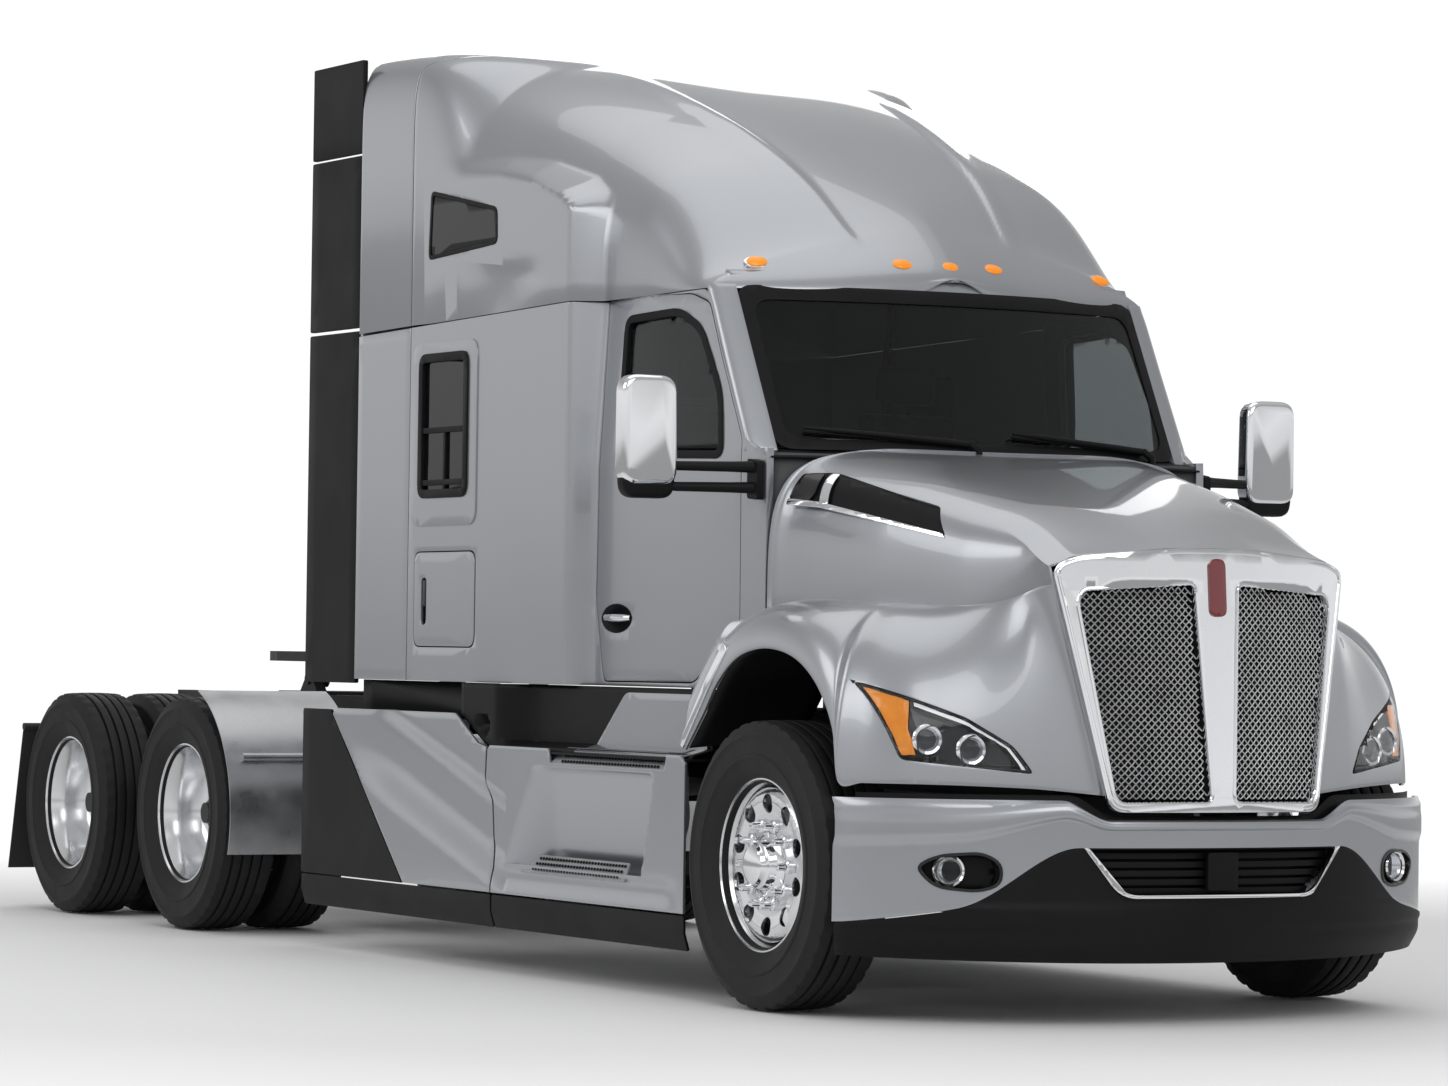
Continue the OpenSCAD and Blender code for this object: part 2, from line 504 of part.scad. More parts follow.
module cab_shell() color(paint) placed() {
    mirrored() difference() {
        body_side(1562, sleeper_split - 4, cab_z, 0, wall_t);
        side_prism(700, 1300, door_outline(shut_gap));
        side_prism(700, 1300, [[1500, 2015], [1722, 2040], [1912, 2372], [1995, 2556], [2060, 2700], [1400, 2700]]);
        side_prism(900, 1300, lower_window);
        side_prism(900, 1300, rect(bay_front - shut_gap, bay_rear + shut_gap, bay_z[0] - shut_gap, bay_z[1] + shut_gap));
    }
    // Floor
    difference() {
        linear_extrude_at(cab_z, 40, concat([for (x = [-870:145:870]) [x, cowl_y(x) + 32]],
            [[890, 1800], [cab_x - wall_t - 1, 2700], [sleeper_x - wall_t - seat_gap, 2800], [sleeper_x - wall_t - seat_gap, sleeper_end - 40 - seat_gap],
            [-sleeper_x + wall_t + seat_gap, sleeper_end - 40 - seat_gap], [-sleeper_x + wall_t + seat_gap, 2800],
            [-cab_x + wall_t + 1, 2700], [-890, 1800]]));
    }
    // Firewall
    wall_between([for (z = [cab_z, 2000]) [for (x = [-930:93:930]) [x, cowl_y(x), z]]],
        [for (z = [cab_z, 2000]) [for (x = [-930:93:930]) [x, cowl_y(x) + 30, z]]]);
    // Cowl top under the windscreen
    wall_between([for (x = [-900:90:900]) [[x, cowl_y(x), 2000], [x, screen_y(x, 2012) + 60, 2000]]],
        [for (x = [-900:90:900]) [[x, cowl_y(x), 1980], [x, screen_y(x, 2012) + 60, 1980]]]);
    // Windscreen pillars and header
    mirrored() hull() {
        for (p = [[862, 1648, 1998], [932, 1688, 1998], [890, 1690, 1998], [850, 1978, 2610], [903, 2012, 2610], [864, 2032, 2610]])
            translate(p) cube([12, 12, 4]);
    }
    wall_between([for (z = [2612, 2650]) [for (x = [-880:88:880]) [x, screen_y(x, z), z]]],
        [for (z = [2612, 2650]) [for (x = [-880:88:880]) [x, screen_y(x, z) + 60, z]]]);
    // Luggage locker under the bunk
    block([-sleeper_x + wall_t + 1, sleeper_x - wall_t - 1], [3500, sleeper_split - 10], [1655, 1680]);
    block([-sleeper_x + wall_t + 1, sleeper_x - wall_t - 1], [3480, 3500], [cab_z + 39, 1680]);
}
module linear_extrude_at(z, h, outline) translate([0, 0, z]) linear_extrude(h) polygon(outline);
roof_ys = [1840, 1880, 1940, 2060, 2250, 2450, 2650, 2736, 2755, 2775, 2800, 3100, 3500, 3700, 3850, 4000, sleeper_split - 4];
module roof() color(paint) placed() difference() {
    wall_between(roof_rows(roof_ys, 0), roof_rows(roof_ys, 30));
    mirrored() side_prism(900, 1300, upper_window);
    wall_between([for (z = [2500, 2652]) [for (x = [-1000:100:1000]) [x, screen_y(x, z) - 200, z]]],
        [for (z = [2500, 2652]) [for (x = [-1000:100:1000]) [x, screen_y(x, z) + 61, z]]]);
}
module sleeper_rear() color(paint) placed() {
    ys = [sleeper_split, 4300, 4400, 4500, 4600, sleeper_end];
    mirrored() wall_between([for (y = ys) [for (z = [cab_z, 1900, seam(y) - 0.5]) [sleeper_x, y, z]]],
        [for (y = ys) [for (z = [cab_z, 1900, seam(y) - 0.5]) [sleeper_x - wall_t, y, z]]]);
    wall_between(roof_rows(ys, 0), roof_rows(ys, 30));
    block([-sleeper_x + wall_t - 1, sleeper_x - wall_t + 1], [sleeper_end - 40, sleeper_end], [cab_z, 2545]);
    intersection() {
        block([-sleeper_x, sleeper_x], [sleeper_end - 40, sleeper_end], [2544, 3800]);
        linear_extrude_roof(sleeper_end, 20);
    }
}
module linear_extrude_roof(y, inset) translate([0, y, 0]) rotate([90, 0, 0]) linear_extrude(60)
    polygon(concat([for (p = roof_rows([y], inset)[0]) [p[0], p[2]]], [[-sleeper_x + 40, 2540], [sleeper_x - 40, 2540]]));
extender_z = [1100, 2560, 3290, 3698];
module side_extenders() color(black) placed() mirrored() {
    y0 = sleeper_end + 0.5;
    for (i = [0:2]) block([sleeper_x - 24, sleeper_x - 2], [y0, y0 + extender_l], [extender_z[i], extender_z[i + 1] - 8]);
    block([sleeper_x - 40, sleeper_x - 23], [y0, y0 + 60], [1200, 3600]);
}
function screen_half(z) = mix(856, 838, (z - 2012) / 590);
function screen_row(z, t) = [for (i = [-8:8]) let(x = screen_half(z) * i / 8)
    [x, screen_y(x, z) + 8 + t, z + 5 * (1 - pow(i / 8, 2)) * (z > 2500 ? 1 : 0)]];
screen_zs = [2000 + seat_gap, 2200, 2400, 2604];
module windshield() color([0.1, 0.12, 0.13, 0.5]) placed()
    wall_between([for (z = screen_zs) screen_row(z, 0)], [for (z = screen_zs) screen_row(z, 7)]);
module sleeper_windows() color([0.05, 0.05, 0.06, 0.6]) placed() mirrored() {
    side_prism(sleeper_x - 20, sleeper_x - 8, lower_window, 0.5);
    side_prism(sleeper_x - 32, sleeper_x - 18, upper_window, 0.5);
}
module mirrors() color(black) placed() mirrored() {
    hull() {
        for (x = [1262, 1440], z = [1860, 2225]) translate([x, 1695, z]) rotate([-90, 0, 0]) cylinder(r = 26, h = 80, $fn = 32);
    }
    for (z = [1850, 1925]) y_bar([964, 1587, z], [1300, 1720, z], 17);
    block([cab_plan(1640) + 0.5, cab_plan(1640) + 18], [1568, 1640], [1810, 1955]);
}
module y_bar(p, q, r) {
    d = q - p;
    translate(p) rotate([0, 90, atan2(d[1], d[0])]) cylinder(r = r, h = norm(d));
}
module wipers() color(black) placed() for (x0 = [-760, 60]) hull() {
    translate([x0, screen_y(x0, 2050) - 46, 2050]) cube([14, 12, 14]);
    translate([x0 + 620, screen_y(x0 + 620, 2020) - 30, 2000 + seat_gap]) cube([14, 12, 20]);
}
module dashboard() color([0.12, 0.12, 0.13]) placed() difference() {
    side_prism(-830, 830, [[1560, 1420], [1600, 1978], [1680, 1978], [1794, 1900], [1900, 1700], [1820, 1500], [1700, 1420]]);
    wall_between([for (x = [-900:90:900]) [[x, 1400, 1300], [x, 1400, 2100]]],
        [for (x = [-900:90:900]) [[x, cowl_y(x) + 30 + seat_gap, 1300], [x, cowl_y(x) + 30 + seat_gap, 2100]]]);
}
wheel_at = [430, 2080, 1900];
module steering_wheel() color(black) placed() {
    translate(wheel_at) rotate([-62, 0, 0]) {
        rotate_extrude($fn = 60) translate([215, 0]) circle(14);
        for (a = [0, 120, 240]) rotate([0, 0, a + 30]) translate([0, -14, -8]) cube([215, 28, 14]);
        cylinder(r = 55, h = 20, center = true);
    }
    translate(wheel_at) rotate([-62, 0, 0]) translate([0, 0, -252.4]) cylinder(r = 26, h = 252.4);
}
module seat(x) {
    block([x - 190, x + 190], [2330, 2730], [cab_z + 40 + seat_gap, 1440]);
    side_prism(x - 260, x + 260, [[2180, 1440], [2180, 1570], [2640, 1540], [2790, 2180], [2900, 2180], [2790, 1480], [2740, 1440]]);
    side_prism(x - 130, x + 130, [[2795, 2179], [2815, 2380], [2905, 2380], [2895, 2179]]);
}
module seats() color([0.2, 0.2, 0.22]) placed() { seat(-450); seat(450); }
module bunk() color([0.3, 0.3, 0.32]) placed() {
    block([-1060, 1060], [3560, 4640], [1680 + seat_gap, 1830]);
}
// Hinge pins and brackets that carry the cab and locker doors
module hinge_pin(x, y, z, r, h, reach, back) {
    z_rod(r, z - h / 2, z + h / 2, x, y);
    for (s = [z - h / 2, z + h / 2 - 6]) {
        block([x - reach, x + r], [y - r, y + r], [s, s + 6]);
        block([x - reach, x - reach + 6], [y - back, y + r], [s, s + 6]);
    }
    block([x - reach, x - reach + 6], [y - back - 30, y - back + 8], [z - h / 2, z + h / 2]);
}
module hinge_pins() color(steel) placed() mirrored() {
    for (z = door_hinge_z) hinge_pin(door_pin_x, door_pin_y, z, door_pin_r, 84, 51, 46);
    for (z = [bay_z[0] + 60, bay_z[1] - 60])
        hinge_pin(sleeper_x - 14, bay_front + 16, z, bay_pin_r, 60, wall_t - 8 + seat_gap, 32);
}
module door(right) color(paint) placed() mirror_if(right) difference() {
    union() {
        difference() {
            intersection() {
                body_side(1700, 2745, cab_z + 1, 0, wall_t);
                side_prism(700, 1300, door_outline(0));
            }
            side_prism(700, 1300, door_window);
            for (z = door_hinge_z) block([700, door_pin_x + 13], [1650, door_pin_y + 30], [z - 54, z + 54]);
        }
        for (z = door_hinge_z) {
            z_rod(12, z - 28, z + 28, door_pin_x, door_pin_y);
            block([door_pin_x - 12, door_pin_x + 12], [door_pin_y, door_pin_y + 34], [z - 28, z + 28]);
        }
    }
    for (z = door_hinge_z) z_rod(door_pin_r + run_gap, z - 60, z + 60, door_pin_x, door_pin_y);
}
module door_left() door(false);
module door_right() door(true);
module door_glass(right) color([0.1, 0.12, 0.13, 0.5]) placed() mirror_if(right) intersection() {
    body_side(1700, 2745, 1900, 24, 30);
    side_prism(700, 1300, door_window, 0.5);
}
module door_glass_left() door_glass(false);
module door_glass_right() door_glass(true);
module bay_door(right) color(paint) placed() mirror_if(right) difference() {
    union() {
        difference() {
            side_prism(sleeper_x - bay_t, sleeper_x, rect(bay_front, bay_rear, bay_z[0], bay_z[1]));
            for (z = [bay_z[0] + 60, bay_z[1] - 60])
                block([1000, sleeper_x - 5], [bay_front - 5, bay_front + 32], [z - 38, z + 38]);
        }
        for (z = [bay_z[0] + 60, bay_z[1] - 60]) {
            z_rod(8.5, z - 20, z + 20, sleeper_x - 14, bay_front + 16);
            block([sleeper_x - 22, sleeper_x - 6], [bay_front + 16, bay_front + 34], [z - 20, z + 20]);
        }
    }
    for (z = [bay_z[0] + 60, bay_z[1] - 60]) z_rod(bay_pin_r + run_gap, z - 40, z + 40, sleeper_x - 14, bay_front + 16);
}
module bay_door_left() bay_door(false);
module bay_door_right() bay_door(true);

// ---- hood ----
hood_ys = [260, 420, 600, 800, 1000, 1200, 1380, 1540];
module hood_skin(near, far) wall_between([for (y = hood_ys) [for (i = [0:20]) hood_point(y, 9 * i, near)]],
    [for (y = hood_ys) [for (i = [0:20]) hood_point(y, 9 * i, far)]]);
vent = [[1490, 1905], [1380, 1905], [800, 1775], [700, 1668], [1490, 1808]];
module hood() color(paint) placed() difference() {
    hood_skin(0, skin_t);
    mirrored() side_prism(500, 1300, vent);
}
module hood_vents() color(black) placed() mirrored() intersection() {
    hood_skin(1, skin_t - 1);
    side_prism(500, 1300, vent, 0.6);
}
lamp = [[1125, 1165], [1050, 897], [659, 854], [720, 950], [850, 1045]];
module fenders() color(paint) placed() mirrored() difference() {
    fender_skin(0, 10);
    front_prism(100, 900, lamp);
    front_prism(-100, 500, surround, -1);
    translate([0, 0, 1200]) linear_extrude(400) polygon([[0, 240], [hood_half(240) + 0.5, 240],
        [hood_half(1550) + 0.5, 1550], [0, 1550]]);
}
module headlamps() color([0.2, 0.2, 0.22]) placed() mirrored() intersection() {
    fender_skin(0.8, 40);
    front_prism(100, 900, lamp, 0.6);
}
function surround_half(z) = 429 + 0.21 * (z - 729);
surround = concat([[-surround_half(729), 729]], [[surround_half(729), 729], [surround_half(1565), 1565],
    [520, 1600], [139, 1634], [-139, 1634], [-520, 1600], [-surround_half(1565), 1565]]);
grille_hole = [[90, 1511], [500, 1483], [518, 1440], [412, 790], [390, grille_foot], [48, grille_foot + 3]];
module grille_sheet(near, far) wall_between([for (z = [700, 1180, 1660]) [for (x = [-640:80:640]) [x, grille_y(x, z) + near, z]]],
    [for (z = [700, 1180, 1660]) [for (x = [-640:80:640]) [x, grille_y(x, z) + far, z]]]);
module grille_surround() color(chrome) placed() difference() {
    intersection() {
        grille_sheet(0, grille_t);
        front_prism(-100, 400, surround);
    }
    mirrored() front_prism(-100, 400, grille_hole);
}
module grille_mesh() color(black) placed() mirrored() intersection() {
    grille_sheet(18, 24);
    front_prism(-100, 400, grille_hole, 0.5);
}
module hood_frame() color(steel) placed() {
    x = hinge_arm_x + 20;
    mirrored() {
        x_rod(hinge_r, hinge_arm_x - 30, x + 20, hinge_y, hinge_z);
        x_rod(22, x, x + 20, hinge_y, hinge_z);
        front = [for (z = [735, 900, 1400]) [grille_y(x + 20, z) + grille_t + 1, z]];
        side_prism(x, x + 20, [front[0], front[1], front[2], front[2] + [60, 0], front[1] + [60, 0],
            [hinge_y + 45, hinge_z - 20], front[0] + [45, 0]]);
        block([x, x + 20], [front[2][0], 330], [1395, 1430]);
        side_prism(x, x + 20, [[300, 1420], [330, 1420], [345, 1675], [315, 1675]]);
        intersection() {
            hood_skin(skin_t + seat_gap, skin_t + 45);
            side_prism(x, x + 20, [[300, 1500], [400, 1500], [400, 1900], [300, 1900]]);
        }
    }
    block([-x - 2, x + 2], [250, 270], [1400, 1425]);
}

frame();
front_axle();
drive_axles();
rear_suspension();
engine();
driveline();
radiator();
fuel_tanks();
bumper();
bumper_lower();
chassis_lamps();
skirt_panels();
skirt_trim();
steps();
quarter_fenders();
mud_flaps();
fifth_wheel_base();
cab_shell();
roof();
sleeper_rear();
side_extenders();
windshield();
sleeper_windows();
mirrors();
wipers();
dashboard();
steering_wheel();
seats();
bunk();
hinge_pins();
door_left();
door_right();
door_glass_left();
door_glass_right();
bay_door_left();
bay_door_right();
hood();
fenders();
grille_surround();
grille_mesh();
headlamps();
hood_vents();
hood_frame();
knuckle_left();
knuckle_right();
tie_rod();
front_rim(false);  // front_rim_left
front_tyre(false);  // front_tyre_left
front_rim(true);  // front_rim_right
front_tyre(true);  // front_tyre_right
drive_rim_pair(drive1_y, false);  // drive1_rims_left
drive_tyre_pair(drive1_y, false);  // drive1_tyres_left
drive_rim_pair(drive1_y, true);  // drive1_rims_right
drive_tyre_pair(drive1_y, true);  // drive1_tyres_right
drive_rim_pair(drive2_y, false);  // drive2_rims_left
drive_tyre_pair(drive2_y, false);  // drive2_tyres_left
drive_rim_pair(drive2_y, true);  // drive2_rims_right
drive_tyre_pair(drive2_y, true);  // drive2_tyres_right
fifth_wheel();
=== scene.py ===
import json
from math import atan2, cos, hypot, pi, radians, sin, sqrt

import bmesh
import bpy
from mathutils import Matrix, Vector


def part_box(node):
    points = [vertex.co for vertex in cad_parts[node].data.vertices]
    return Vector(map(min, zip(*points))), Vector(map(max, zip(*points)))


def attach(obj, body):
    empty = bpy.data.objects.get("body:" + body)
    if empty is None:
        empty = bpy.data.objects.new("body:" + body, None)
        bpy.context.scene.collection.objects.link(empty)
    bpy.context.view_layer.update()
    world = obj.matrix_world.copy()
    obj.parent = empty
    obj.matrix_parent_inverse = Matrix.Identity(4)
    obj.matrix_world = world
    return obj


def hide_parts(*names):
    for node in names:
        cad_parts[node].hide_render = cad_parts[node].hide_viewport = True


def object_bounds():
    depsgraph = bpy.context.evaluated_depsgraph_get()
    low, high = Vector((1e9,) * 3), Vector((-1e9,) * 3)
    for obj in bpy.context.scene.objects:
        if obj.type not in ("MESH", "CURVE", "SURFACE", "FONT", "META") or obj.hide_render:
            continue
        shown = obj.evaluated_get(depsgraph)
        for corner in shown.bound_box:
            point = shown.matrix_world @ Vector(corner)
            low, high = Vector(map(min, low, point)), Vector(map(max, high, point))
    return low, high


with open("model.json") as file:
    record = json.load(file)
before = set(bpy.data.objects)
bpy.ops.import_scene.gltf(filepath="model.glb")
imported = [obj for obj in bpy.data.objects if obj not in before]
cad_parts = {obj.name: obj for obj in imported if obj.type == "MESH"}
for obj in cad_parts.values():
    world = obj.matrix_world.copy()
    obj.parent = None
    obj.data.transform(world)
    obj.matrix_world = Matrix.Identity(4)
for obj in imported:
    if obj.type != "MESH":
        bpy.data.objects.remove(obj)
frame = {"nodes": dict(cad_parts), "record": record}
cad_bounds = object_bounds()
NOSE = cad_bounds[0][1]
SIDES = (("left", 1), ("right", -1))


# ---------------------------------------------------------------- numbers
def clamp(t, low=0.0, high=1.0):
    return max(low, min(high, t))


def smooth(t):
    c = clamp(t)
    return c * c * (3 - 2 * c)


def mix(a, b, t):
    return a + (b - a) * t


def along(table, t):
    """Reads a table of (t, value) rows with straight lines between them."""
    if t <= table[0][0]:
        return table[0][1]
    for (t0, v0), (t1, v1) in zip(table, table[1:]):
        if t <= t1:
            return mix(v0, v1, (t - t0) / (t1 - t0))
    return table[-1][1]


def curve_row(rows, t):
    """A smooth row between the rows of a net, with t from 0 to the last row."""
    i = min(int(t), len(rows) - 2)
    s = t - i
    p = [rows[max(0, min(len(rows) - 1, i + k))] for k in (-1, 0, 1, 2)]
    return [0.5 * (2 * b + (c - a) * s + (2 * a - 5 * b + 4 * c - d) * s * s
                   + (3 * b - a - 3 * c + d) * s ** 3) for a, b, c, d in zip(*p)]


def inside(x, y, outline):
    """True where (x, y) lies in the outline."""
    hit = False
    for (x0, y0), (x1, y1) in zip(outline, outline[1:] + outline[:1]):
        if (y0 > y) != (y1 > y) and x < (x1 - x0) * (y - y0) / (y1 - y0) + x0:
            hit = not hit
    return hit


def rounded(outline, radius, steps=5):
    """The outline with its corners turned round."""
    result = []
    count = len(outline)
    for i in range(count):
        a, b, c = (Vector(outline[(i + k) % count]) for k in (-1, 0, 1))
        to_a, to_c = (a - b), (c - b)
        reach = min(radius, to_a.length * 0.45, to_c.length * 0.45)
        start, end = b + to_a.normalized() * reach, b + to_c.normalized() * reach
        for k in range(steps + 1):
            t = k / steps
            p = start * (1 - t) ** 2 + b * 2 * t * (1 - t) + end * t * t
            result.append((p.x, p.y))
    return result


def box_outline(x0, x1, y0, y1):
    return [(x0, y0), (x1, y0), (x1, y1), (x0, y1)]


def grown(outline, by):
    """The outline moved out by a distance (in, where it is negative)."""
    area = sum(a[0] * b[1] - b[0] * a[1] for a, b in zip(outline, outline[1:] + outline[:1]))
    turn = 1 if area > 0 else -1
    result = []
    count = len(outline)
    for i in range(count):
        a, b, c = (Vector(outline[(i + k) % count]) for k in (-1, 0, 1))
        n0 = Vector((b.y - a.y, a.x - b.x)).normalized()
        n1 = Vector((c.y - b.y, b.x - c.x)).normalized()
        n = (n0 + n1).normalized()
        p = b + n * (turn * by / max(0.4, n.dot(n0)))
        result.append((p.x, p.y))
    return result


# ---------------------------------------------------------------- materials
def socket_group(name, inputs, outputs):
    group = bpy.data.node_groups.new(name, "ShaderNodeTree")
    for label, kind, value in inputs:
        item = group.interface.new_socket(label, in_out="INPUT", socket_type=kind)
        item.default_value = value
    for label, kind in outputs:
        group.interface.new_socket(label, in_out="OUTPUT", socket_type=kind)
    return group, group.nodes.new("NodeGroupInput"), group.nodes.new("NodeGroupOutput")


def surface_group():
    """Grain, cloudy tone and a fine bump from Object coordinates."""
    group, start, end = socket_group(
        "surface_grain",
        (("Color A", "NodeSocketColor", (0.5, 0.5, 0.5, 1)),
         ("Color B", "NodeSocketColor", (0.6, 0.6, 0.6, 1)),
         ("Grain Scale", "NodeSocketFloat", 900.0), ("Cloud Scale", "NodeSocketFloat", 1.5),
         ("Rough Low", "NodeSocketFloat", 0.2), ("Rough High", "NodeSocketFloat", 0.3),
         ("Bump", "NodeSocketFloat", 0.1), ("Bump Depth", "NodeSocketFloat", 0.0005)),
        (("Color", "NodeSocketColor"), ("Roughness", "NodeSocketFloat"), ("Normal", "NodeSocketVector")))
    nodes, links = group.nodes, group.links
    place = nodes.new("ShaderNodeTexCoord")
    fine = nodes.new("ShaderNodeTexNoise")
    cloud = nodes.new("ShaderNodeTexNoise")
    for node, scale, detail in ((fine, "Grain Scale", 2.0), (cloud, "Cloud Scale", 3.0)):
        links.new(place.outputs["Object"], node.inputs["Vector"])
        links.new(start.outputs[scale], node.inputs["Scale"])
        node.inputs["Detail"].default_value = detail
    tone = nodes.new("ShaderNodeMath")
    tone.operation = "MULTIPLY_ADD"
    links.new(fine.outputs["Fac"], tone.inputs[0])
    tone.inputs[1].default_value = 0.5
    half = nodes.new("ShaderNodeMath")
    half.operation = "MULTIPLY"
    links.new(cloud.outputs["Fac"], half.inputs[0])
    half.inputs[1].default_value = 0.5
    links.new(half.outputs[0], tone.inputs[2])
    spread = nodes.new("ShaderNodeMapRange")
    spread.inputs["From Min"].default_value = 0.35
    spread.inputs["From Max"].default_value = 0.65
    links.new(tone.outputs[0], spread.inputs["Value"])
    blend = nodes.new("ShaderNodeMix")
    blend.data_type = "RGBA"
    links.new(spread.outputs["Result"], blend.inputs["Factor"])
    links.new(start.outputs["Color A"], blend.inputs["A"])
    links.new(start.outputs["Color B"], blend.inputs["B"])
    rough = nodes.new("ShaderNodeMapRange")
    links.new(cloud.outputs["Fac"], rough.inputs["Value"])
    rough.inputs["From Min"].default_value = 0.3
    rough.inputs["From Max"].default_value = 0.7
    links.new(start.outputs["Rough Low"], rough.inputs["To Min"])
    links.new(start.outputs["Rough High"], rough.inputs["To Max"])
    bump = nodes.new("ShaderNodeBump")
    links.new(fine.outputs["Fac"], bump.inputs["Height"])
    links.new(start.outputs["Bump"], bump.inputs["Strength"])
    links.new(start.outputs["Bump Depth"], bump.inputs["Distance"])
    links.new(blend.outputs["Result"], end.inputs["Color"])
    links.new(rough.outputs["Result"], end.inputs["Roughness"])
    links.new(bump.outputs["Normal"], end.inputs["Normal"])
    return group


GRAIN = surface_group()


def finish(name, tone_a, tone_b, grain=900.0, cloud=1.5, rough=(0.2, 0.3), bump=0.1, depth=0.0005, **values):
    """A material with the shared grain; values are Principled sockets by name."""
    material = bpy.data.materials.new(name)
    material.use_nodes = True
    nodes, links = material.node_tree.nodes, material.node_tree.links
    shader = nodes["Principled BSDF"]
    grains = nodes.new("ShaderNodeGroup")
    grains.node_tree = GRAIN
    for label, value in (("Color A", (*tone_a, 1)), ("Color B", (*tone_b, 1)), ("Grain Scale", grain),
                         ("Cloud Scale", cloud), ("Rough Low", rough[0]), ("Rough High", rough[1]),
                         ("Bump", bump), ("Bump Depth", depth)):
        grains.inputs[label].default_value = value
    links.new(grains.outputs["Color"], shader.inputs["Base Color"])
    links.new(grains.outputs["Roughness"], shader.inputs["Roughness"])
    links.new(grains.outputs["Normal"], shader.inputs["Normal"])
    for label, value in values.items():
        shader.inputs[label.replace("_", " ")].default_value = value
    return material


PAINT = finish("silver_paint", (0.36, 0.375, 0.40), (0.40, 0.415, 0.44), 2500, 0.8, (0.3, 0.36), 0.05, 0.0001,
               Metallic=0.75, Coat_Weight=1.0, Coat_Roughness=0.04)
BLACK_PLASTIC = finish("black_plastic", (0.005, 0.005, 0.006), (0.010, 0.010, 0.011), 1400, 3, (0.4, 0.52),
                       0.25, 0.0004, Specular_IOR_Level=0.14)
GLOSS_BLACK = finish("gloss_black", (0.008, 0.008, 0.009), (0.014, 0.014, 0.015), 600, 3, (0.12, 0.2), 0.05,
                     0.0001)
CHROME = finish("bright_chrome", (0.80, 0.81, 0.83), (0.86, 0.87, 0.88), 300, 2, (0.03, 0.08), 0.02, 0.0001,
                Metallic=1.0)
ALLOY = finish("polished_alloy", (0.72, 0.73, 0.75), (0.82, 0.83, 0.84), 400, 6, (0.16, 0.26), 0.04, 0.0001,
               Metallic=1.0)
TREAD_ALLOY = finish("tread_alloy", (0.42, 0.43, 0.44), (0.56, 0.57, 0.58), 500, 8, (0.26, 0.4), 0.2,
                     0.0003, Metallic=0.9)
TYRE = finish("tyre_rubber", (0.006, 0.006, 0.006), (0.014, 0.014, 0.013), 700, 7, (0.6, 0.75), 0.35, 0.0005,
              Specular_IOR_Level=0.35)
FLAP = finish("flap_rubber", (0.014, 0.014, 0.014), (0.024, 0.024, 0.024), 500, 5, (0.6, 0.75), 0.3, 0.0005)
FRAME_PAINT = finish("frame_paint", (0.006, 0.006, 0.007), (0.012, 0.012, 0.013), 300, 4, (0.35, 0.5), 0.2,
                     0.0005, Specular_IOR_Level=0.2)
CAST = finish("forged_steel", (0.03, 0.03, 0.032), (0.06, 0.06, 0.062), 250, 6, (0.45, 0.65), 0.4, 0.0008,
              Metallic=0.5)
ZINC = finish("zinc_steel", (0.35, 0.36, 0.37), (0.5, 0.5, 0.5), 300, 20, (0.25, 0.4), 0.1, 0.0003,
              Metallic=1.0)
TRIM = finish("cabin_trim", (0.05, 0.052, 0.056), (0.075, 0.077, 0.08), 1100, 4, (0.55, 0.7), 0.35, 0.0004)
LINING = finish("cabin_lining", (0.16, 0.165, 0.17), (0.2, 0.205, 0.21), 800, 4, (0.8, 0.9), 0.4, 0.0006)
GLASS = finish("tinted_glass", (0.34, 0.37, 0.37), (0.36, 0.39, 0.39), 50, 1, (0.0, 0.01), 0.0, 0.0001,
               Transmission_Weight=1.0, IOR=1.3)
ENAMEL = finish("badge_enamel", (0.16, 0.008, 0.012), (0.22, 0.012, 0.016), 200, 2, (0.12, 0.2), 0.03,
                0.0001, Coat_Weight=1.0)
WIRE = finish("grille_wire", (0.50, 0.505, 0.51), (0.66, 0.665, 0.67), 400, 12, (0.25, 0.38), 0.1, 0.0003,
              Metallic=1.0)
DARK_GLASS = finish("dark_glass", (0.004, 0.004, 0.005), (0.008, 0.008, 0.009), 50, 1, (0.05, 0.1), 0.0,
                    0.0001, Specular_IOR_Level=0.3)
LENS = finish("lamp_lens", (0.9, 0.92, 0.94), (0.95, 0.96, 0.97), 50, 1, (0.0, 0.01), 0.0, 0.0001,
              Transmission_Weight=1.0, IOR=1.3)
AMBER = finish("amber_lens", (0.85, 0.22, 0.01), (0.95, 0.32, 0.02), 120, 10, (0.1, 0.16), 0.3, 0.001,
               Emission_Strength=0.25, Emission_Color=(1.0, 0.35, 0.03, 1))
RED = finish("red_lens", (0.5, 0.01, 0.01), (0.6, 0.02, 0.02), 120, 10, (0.1, 0.16), 0.3, 0.001)
STRIP = finish("light_strip", (0.85, 0.87, 0.9), (0.92, 0.93, 0.95), 200, 5, (0.15, 0.2), 0.1, 0.0002,
               Emission_Strength=0.35, Emission_Color=(1.0, 1.0, 1.0, 1))


